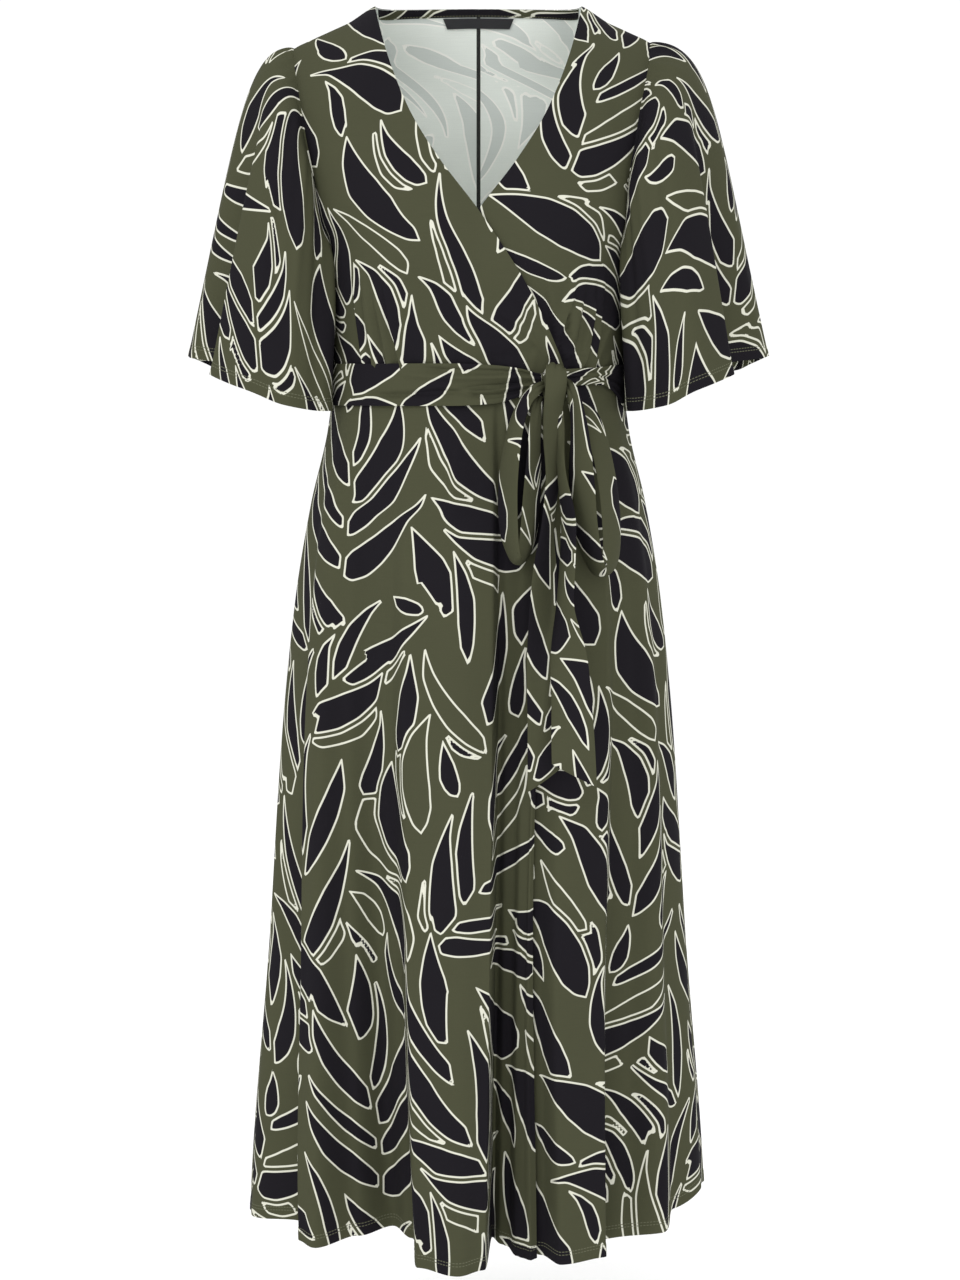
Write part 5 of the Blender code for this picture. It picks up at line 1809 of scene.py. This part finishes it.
def gather_take(turn, v, flip):
    """Cloth drawn up in the gathers, counted from the outermost line."""
    take = 0.0
    for gather, away in gathers(turn, v, flip):
        across = eased((away + GATHER_REACH) / (2 * GATHER_REACH))
        take = take + GATHER_TAKE * (across - (gather["turn"] < 0))
    return take * (1 - eased(v / GATHER_TAKE_V))


# Long soft creases of the sleeves: down and round at both ends, half width and height
SLEEVE_CREASES = (
    (0.10, 0.170, 0.75, 0.215, 0.016, -0.0030),
    (0.15, 0.245, 0.95, 0.300, 0.018, 0.0026),
    (0.20, 0.330, 1.00, 0.360, 0.014, -0.0024),
    (0.10, 0.400, 0.80, 0.395, 0.012, 0.0020),
    (0.20, 0.600, 0.90, 0.620, 0.016, -0.0026),
    (0.10, 0.690, 1.00, 0.680, 0.020, 0.0030),
    (0.20, 0.780, 0.95, 0.750, 0.016, -0.0028),
)

# How far the front of each sleeve hangs in towards the bodice, where, and its share at the hem
SLEEVE_TUCK = {RIGHT: 0.009, LEFT: 0.004}
SLEEVE_TUCK_TURN = 0.405
SLEEVE_TUCK_REACH = 0.035
SLEEVE_TUCK_HEM = 0.3

# How far a sleeve's first row goes in under the bodice, and down
SLEEVE_ALLOWANCE = (0.0036, 0.0010)

HEM_TURN = 0.0112
HEM_SOFTNESS = 0.004
HEM_THICKNESS = 0.0006
STITCH_DEPTH = 0.0004
STITCH_REACH = 0.0012


def hem_stand(edge):
    """The turned-up hem: a little thicker below its stitching, with the stitching drawn in."""
    stitched = sum(bell((edge - line) / STITCH_REACH) for line in STITCH_LINES)
    return HEM_THICKNESS * (1 - eased((edge - HEM_TURN) / HEM_SOFTNESS)) - STITCH_DEPTH * stitched


def sleeve_tuck(side, turn, v):
    """How far each point of a sleeve hangs in towards the bodice."""
    near = bell((turn - SLEEVE_TUCK_TURN) / SLEEVE_TUCK_REACH) * eased((v - 0.15) / 0.35)
    return SLEEVE_TUCK[side] * near * (1 - (1 - SLEEVE_TUCK_HEM) * eased((v - 0.65) / 0.35))


def make_sleeves(finish):
    for name, side in (("sleeve_right", RIGHT), ("sleeve_left", LEFT)):
        surface = sleeve_surface(side)
        turns = even_places(surface, 0.5, 1.5, SLEEVE_STEP)[:-1]
        turn, down = np.meshgrid(turns % 1.0, even_rows(SLEEVE_LENGTH, SLEEVE_STEP))
        points = surface(turn, down)
        points[..., 0] -= side * sleeve_tuck(side, turn, down)
        across, up = run_across(points, len(turns) // 2)
        across = across + side * gather_take(turn, down, side)
        edge = up - up[-1:]
        points[0] -= np.array((side * SLEEVE_ALLOWANCE[0], 0.0, SLEEVE_ALLOWANCE[1]))
        creases = long_crease_stand(SLEEVE_CREASES, down, turn, SLEEVE_ENDS)
        stand = gather_stand(turn, down, side) + creases
        stand = stand + seam_dips(points, ("top",)) + hem_stand(edge)
        mesh = shell_mesh(
            name, points, side, (across * -side, up), edge, stand,
            ring=True, seams=("top", "sleeve_hem"), coarse=(2, 1),
        )
        sew(name, mesh, finish)


def make_skirt(finish):
    panels = (
        ("skirt_front_over", "free_edge", "right_side", ("right", "top")),
        ("skirt_back_right", "right_side", "centre_back", ("left", "right", "top")),
        ("skirt_back_left", "centre_back", "left_side", ("left", "right", "top")),
        ("skirt_front_under", "left_side", "hidden_edge", ("left", "top")),
    )
    for name, first, last, seams in panels:
        step = SKIRT_BACK_STEP if "back" in name else SKIRT_STEP
        places = even_places(skirt_surface, FOLD_NAMES.index(first), FOLD_NAMES.index(last), step)
        points = skirt_surface(*np.meshgrid(places, even_rows(SKIRT_LENGTH, step)))
        across, up = run_across(points, len(places) // 2)
        edge = up - up[-1:]
        stand = crease_stand(name, points) + seam_dips(points, seams) + hem_stand(edge)
        across = across - lap_take(name, points)
        mesh = shell_mesh(name, points, 1, (-across, up), edge, stand, seams=(*seams, "hem"))
        sew(name, mesh, finish)


# Creases along the band of the sash: angle and share down the band at both ends, half width
# and height
BELT_CREASES = (
    (-48.0, 0.74, 25.0, 0.52, 0.07, -0.0040),
    (-30.0, 0.24, 25.0, 0.36, 0.08, 0.0030),
    (-22.0, 0.10, 26.0, 0.20, 0.06, -0.0034),
    (-14.0, 0.56, 26.0, 0.68, 0.06, 0.0028),
    (-6.0, 0.70, 26.0, 0.84, 0.06, -0.0034),
    (-18.0, 1.00, 10.0, 1.00, 0.20, 0.0030),
    (-100.0, 0.35, -40.0, 0.50, 0.12, 0.0010),
    (-332.0, 0.45, -276.0, 0.62, 0.08, -0.0024),
    (-330.0, 0.74, -292.0, 0.26, 0.08, 0.0022),
    (-333.0, 0.20, -300.0, 0.30, 0.07, -0.0018),
    (-300.0, 0.80, -278.0, 0.55, 0.08, -0.0020),
    (-250.0, 0.35, -170.0, 0.60, 0.12, -0.0013),
    (-205.0, 0.25, -130.0, 0.45, 0.10, 0.0012),
    (-160.0, 0.75, -90.0, 0.62, 0.11, -0.0011),
)
BELT_SWAY = 0.05
BELT_START = -335.0
BELT_ROWS = 33
BELT_THICKNESS = 0.9 * BELT_WALL
BELT_EDGE_DIP = 0.0006
BELT_EDGE_REACH = 0.05


def make_belt_band(finish):
    """The band round the waist, one closed ring that meets behind the knot."""
    angles = even_places(belt_surface, BELT_START, BELT_START + 360, BELT_STEP, rows=(0.5,))[:-1]
    angle, down = np.meshgrid(angles, np.linspace(0.0, 1.0, BELT_ROWS))
    points = belt_surface(angle, down)
    across = run_across(points, len(angles) // 2)[0]
    up = -down * SHEETS["belt_band"][1]
    edges = np.minimum(down, 1 - down)
    stand = long_crease_stand(BELT_CREASES, angle, down, BELT_ENDS, BELT_SWAY)
    stand = stand - BELT_EDGE_DIP * bell(edges / BELT_EDGE_REACH)
    mesh = shell_mesh(
        "belt_band", points, -1, (up, across), FAR_EDGE, stand, BELT_THICKNESS,
        ring=True, both_sides=True,
    )
    sew("belt_band", mesh, finish)


KNOT_COLUMNS = 96
KNOT_ROWS = 61
KNOT_END = 0.49 * math.pi
KNOT_WRAP = 0.05
KNOT_CROSS_WRAP = 0.035


def signed_power(value, power):
    return np.copysign(np.abs(value) ** power, value)


def make_knot(finish):
    """The knot: a squarish lump with the sash wrapped down over it in soft folds."""
    angles = np.array((-2, 0, 2)) + KNOT_ANGLE - 360
    before, seat, after = belt_surface(angles, np.full(3, 0.5))
    out = unit(np.cross((0.0, 0.0, -1.0), after - before))
    middle = seat + out * (KNOT_HALF[1] + KNOT_GAP)
    middle[2] = KNOT_Z
    heading, tilt = np.meshgrid(
        np.linspace(0, 2 * math.pi, KNOT_COLUMNS, endpoint=False),
        np.linspace(KNOT_END, -KNOT_END, KNOT_ROWS),
    )
    power = 2 / KNOT_SQUARENESS
    flat = signed_power(np.cos(tilt), power)
    wraps = KNOT_WRAP * np.cos(heading * 7 + 1.6 * np.sin(tilt * 1.3))
    wraps = wraps + KNOT_CROSS_WRAP * np.cos(heading * 4 - 2.0 * tilt)
    flat = flat * (1 + wraps * np.cos(tilt))
    local = stack(
        KNOT_HALF[0] * flat * signed_power(np.cos(heading), power),
        KNOT_HALF[1] * flat * signed_power(np.sin(heading), power),
        KNOT_HALF[2] * signed_power(np.sin(tilt), power),
    )
    angle = math.atan2(out[0], -out[1])
    cosine, sine = math.cos(angle), math.sin(angle)
    turn = np.array(((cosine, -sine, 0), (sine, cosine, 0), (0, 0, 1)))
    points = middle + local @ turn.T
    across, up = run_across(points, 3 * KNOT_COLUMNS // 4)
    numbers = np.arange(KNOT_ROWS * KNOT_COLUMNS)
    caps = [numbers[None, :KNOT_COLUMNS], numbers[None, -KNOT_COLUMNS:][:, ::-1]]
    faces = [grid_quads(KNOT_ROWS, KNOT_COLUMNS, True)[:, ::-1], *caps]
    mesh = make_mesh("belt_knot", points.reshape(-1, 3), faces)
    fields = {"cloth": stack(across, up, FAR_EDGE), **print_fields("belt_knot", across, up)}
    for field, values in fields.items():
        add_field(mesh, field, values.reshape(-1, 3))
    add_field(mesh, "reverse", np.zeros(len(numbers)))
    return sew("belt_knot", mesh, finish)


RIBBONS = (
    ("bow_loop_right", BOW_LOOP_RIGHT, 0.0),
    ("bow_loop_left", BOW_LOOP_LEFT, 0.0),
    ("belt_tail_right", BELT_TAIL_RIGHT, RIGHT_TAIL_SLANT),
    ("belt_tail_left", BELT_TAIL_LEFT, LEFT_TAIL_SLANT),
)
RIBBON_LINES = 21
RIBBON_MIDDLE = RIBBON_LINES // 2
GATHERED_V = 0.22
PLEAT_HEIGHT = 0.0011
RIPPLE_HEIGHT = 0.0009
LEAST_WALL = 0.3


def make_ribbons(finish):
    u = np.linspace(-1.0, 1.0, RIBBON_LINES)
    for name, rows, slant in RIBBONS:
        surface = ribbon_surface(rows, slant)
        v = even_places(lambda t, middle: surface(middle, t), 0.0, 1.0, RIBBON_STEP, rows=(0.0,))
        across, down = np.meshgrid(u, v)
        points = surface(across, down)
        flat_x, flat_y = run_across(points, RIBBON_MIDDLE)
        flat_y = flat_y[:, RIBBON_MIDDLE : RIBBON_MIDDLE + 1]
        if name != "belt_tail_right":
            flat_x = across * SHEETS[name][0] / 2
        gathered = (1 - eased(down / GATHERED_V)) + (near_end(down) if "loop" in name else 0.0)
        pleats = PLEAT_HEIGHT * np.cos(across * 8.0 + 2.0 * down) * gathered
        ripple = RIPPLE_HEIGHT * np.sin(down * 19.0 + across * 1.7) * (1 - gathered)
        wall = RIBBON_WALL * np.maximum(np.sqrt(1 - np.abs(across) ** 8), LEAST_WALL)
        mesh = shell_mesh(
            name, points, 1, (flat_x, flat_y), FAR_EDGE, pleats + ripple + wall / 2, wall,
            coarse=(1, 1), both_sides=True,
        )
        sew(name, mesh, finish)


# ---- Studio ----

FLOOR_Z = -1.42
FLOOR_RADIUS = 8.0
FLOOR_CORE = 0.3
FLOOR_CORNERS = 96
FLOOR_RINGS = 12
FLOOR_CLOUDING = 0.02
CAMERA_PLACE = (0.0016, -2.82, -0.37)
CAMERA_TILT = 84.5
CAMERA_LENS = 76.78
LIGHT_AIM = (0.0, 0.0, -0.6)
LIGHT_COLUMNS = ("name", "x", "y", "z", "size", "power")
LIGHTS = (
    ("front", 0.2, -3.6, 0.7, 2.4, 22.0),
    ("key", -2.6, -2.4, 1.8, 1.4, 27.0),
    ("back", 1.6, 3.2, 1.4, 2.4, 30.0),
)


def make_floor(colour):
    """A plain pale floor under the dress."""
    around = np.linspace(0, 2 * math.pi, FLOOR_CORNERS, endpoint=False)
    rings = np.linspace(FLOOR_CORE, FLOOR_RADIUS, FLOOR_RINGS)
    radius, heading = np.meshgrid(rings, around, indexing="ij")
    points = stack(radius * np.cos(heading), radius * np.sin(heading), FLOOR_Z)
    faces = [grid_quads(*radius.shape, True), np.arange(FLOOR_CORNERS)[None, :]]
    mesh = make_mesh("studio_floor", points.reshape(-1, 3), faces)
    mesh.materials.append(studio_paint("studio paint", colour, FLOOR_CLOUDING))
    floor = put_in_scene("studio_floor", mesh)


def make_light(x, y, z, size, power, name):
    """A soft square lamp that looks at the dress."""
    light = bpy.data.lights.new(name, "AREA")
    light.shape = "SQUARE"
    light.size = size
    light.energy = power
    made = put_in_scene(name, light)
    made.location = (x, y, z)
    aim = np.array(LIGHT_AIM) - (x, y, z)
    pitch = math.atan2(math.hypot(aim[0], aim[1]), -aim[2])
    made.rotation_euler = (pitch, 0.0, math.atan2(-aim[0], aim[1]))


def make_camera():
    camera = bpy.data.cameras.new("camera")
    camera.lens = CAMERA_LENS
    made = put_in_scene("camera", camera)
    made.location = CAMERA_PLACE
    made.rotation_euler = (math.radians(CAMERA_TILT), 0.0, 0.0)
    bpy.context.scene.camera = made


def make_sky(colour, strength):
    world = bpy.data.worlds.new("studio")
    world.use_nodes = True
    sky = world.node_tree.nodes["Background"]
    sky.inputs["Color"].default_value = (*colour, 1.0)
    sky.inputs["Strength"].default_value = strength
    bpy.context.scene.world = world
    bpy.context.scene.view_settings.view_transform = "Standard"


# ---- Add-on ----


def colour_property(name, description, default):
    return bpy.props.FloatVectorProperty(
        name=name, description=description, subtype="COLOR", size=3, min=0.0, max=1.0, default=default
    )


class DressLooks(bpy.types.PropertyGroup):
    ground: colour_property("Ground", "Olive of the cloth", (0.0620, 0.0640, 0.0370))
    leaf: colour_property("Leaf", "Black of the leaves", (0.0122, 0.0110, 0.0138))
    line: colour_property("Line", "Cream of the outlines", (0.660, 0.660, 0.560))
    wrong_side: colour_property("Wrong side", "Pale wrong side of the cloth", (0.84, 0.88, 0.83))
    wrong_leaf: colour_property("Wrong side leaf", "Leaves that show through", (0.66, 0.70, 0.67))
    wrong_line: colour_property("Wrong side line", "Outlines that show through", (0.96, 0.96, 0.91))
    thread: colour_property("Thread", "Hem stitching", (0.120, 0.124, 0.080))
    seam: colour_property("Seam thread", "Overlocked thread inside the back", (0.022, 0.022, 0.020))
    label: colour_property("Label", "Black of the neck label", (0.014, 0.014, 0.017))
    line_width: bpy.props.FloatProperty(
        name="Line width",
        description="Width of the cream outlines",
        default=0.0019,
        min=0.0005,
        unit="LENGTH",
    )
    streaks: bpy.props.FloatProperty(
        name="Streaks",
        description="Strength of the faint streaks in the knit",
        default=0.10,
        min=0.0,
        max=0.5,
    )


class StudioLooks(bpy.types.PropertyGroup):
    floor: colour_property("Floor", "Colour of the floor", (0.98, 0.98, 0.98))
    sky: colour_property("Sky", "Colour of the light from all round", (1.0, 1.0, 1.0))
    sky_strength: bpy.props.FloatProperty(
        name="Sky strength", description="Light from all round", default=1.05, min=0.0
    )
    lamp_strength: bpy.props.FloatProperty(
        name="Lamp strength", description="Share of the lamps' power", default=1.0, min=0.0
    )


def finish(kind):
    """A material of the dress, made once."""
    looks = bpy.context.scene.dress_looks
    makers = {
        "printed jersey": lambda name: jersey(name, looks),
        "sash jersey": lambda name: jersey(name, looks, ()),
        "neck binding": lambda name: jersey(name, looks, (BINDING_STITCH,)),
        "label satin": lambda name: label_satin(looks),
        "seam thread": lambda name: seam_thread(looks),
    }
    return bpy.data.materials.get(kind) or makers[kind](kind)


class DRESS_OT_bodice(bpy.types.Operator):
    """Build the two fronts and the two backs of the bodice"""

    bl_idname = "dress.bodice"
    bl_label = "Bodice"

    def execute(self, context):
        thread = make_seam_thread(finish("seam thread"))
        make_bodice(finish("printed jersey"))
        return {"FINISHED"}


class DRESS_OT_neck(bpy.types.Operator):
    """Build the binding inside the back neck and the plain label"""

    bl_idname = "dress.neck"
    bl_label = "Neck Finish"

    def execute(self, context):
        make_neck_band(finish("neck binding"))
        make_neck_label(finish("label satin"))
        return {"FINISHED"}


class DRESS_OT_sleeves(bpy.types.Operator):
    """Build both gathered flutter sleeves"""

    bl_idname = "dress.sleeves"
    bl_label = "Sleeves"

    def execute(self, context):
        make_sleeves(finish("printed jersey"))
        return {"FINISHED"}


class DRESS_OT_skirt(bpy.types.Operator):
    """Build the four panels of the skirt"""

    bl_idname = "dress.skirt"
    bl_label = "Skirt"

    def execute(self, context):
        make_skirt(finish("printed jersey"))
        return {"FINISHED"}


class DRESS_OT_sash(bpy.types.Operator):
    """Build the sash: its band, knot, loops and ends"""

    bl_idname = "dress.sash"
    bl_label = "Sash"

    def execute(self, context):
        jersey_finish = finish("sash jersey")
        knot = make_knot(jersey_finish)
        make_belt_band(jersey_finish)
        make_ribbons(jersey_finish)
        return {"FINISHED"}


class DRESS_OT_studio(bpy.types.Operator):
    """Build the floor, lamps and camera"""

    bl_idname = "dress.studio"
    bl_label = "Studio"

    def execute(self, context):
        looks = context.scene.studio_looks
        make_floor(looks.floor)
        for row in LIGHTS:
            lamp = dict(zip(LIGHT_COLUMNS, row))
            lamp["power"] *= looks.lamp_strength
            make_light(**lamp)
        make_sky(looks.sky, looks.sky_strength)
        make_camera()
        return {"FINISHED"}


OPERATORS = (
    DRESS_OT_bodice, DRESS_OT_neck, DRESS_OT_sleeves, DRESS_OT_skirt, DRESS_OT_sash, DRESS_OT_studio,
)


class DRESS_PT_panel(bpy.types.Panel):
    bl_idname = "DRESS_PT_panel"
    bl_label = "Wrap Dress"
    bl_space_type = "VIEW_3D"
    bl_region_type = "UI"
    bl_category = "Wrap Dress"

    def draw(self, context):
        for looks in (context.scene.dress_looks, context.scene.studio_looks):
            box = self.layout.box()
            for name in looks.bl_rna.properties.keys():
                if name not in ("rna_type", "name"):
                    box.prop(looks, name)
        for operator in OPERATORS:
            self.layout.operator(operator.bl_idname)


CLASSES = (DressLooks, StudioLooks, *OPERATORS, DRESS_PT_panel)


def register():
    for each in CLASSES:
        bpy.utils.register_class(each)
    bpy.types.Scene.dress_looks = bpy.props.PointerProperty(type=DressLooks)
    bpy.types.Scene.studio_looks = bpy.props.PointerProperty(type=StudioLooks)


def unregister():
    del bpy.types.Scene.studio_looks
    del bpy.types.Scene.dress_looks
    for each in reversed(CLASSES):
        bpy.utils.unregister_class(each)


def main():
    register()
    bpy.ops.dress.bodice()
    bpy.ops.dress.neck()
    bpy.ops.dress.sleeves()
    bpy.ops.dress.skirt()
    bpy.ops.dress.sash()
    bpy.ops.dress.studio()


if __name__ == "__main__":
    main()
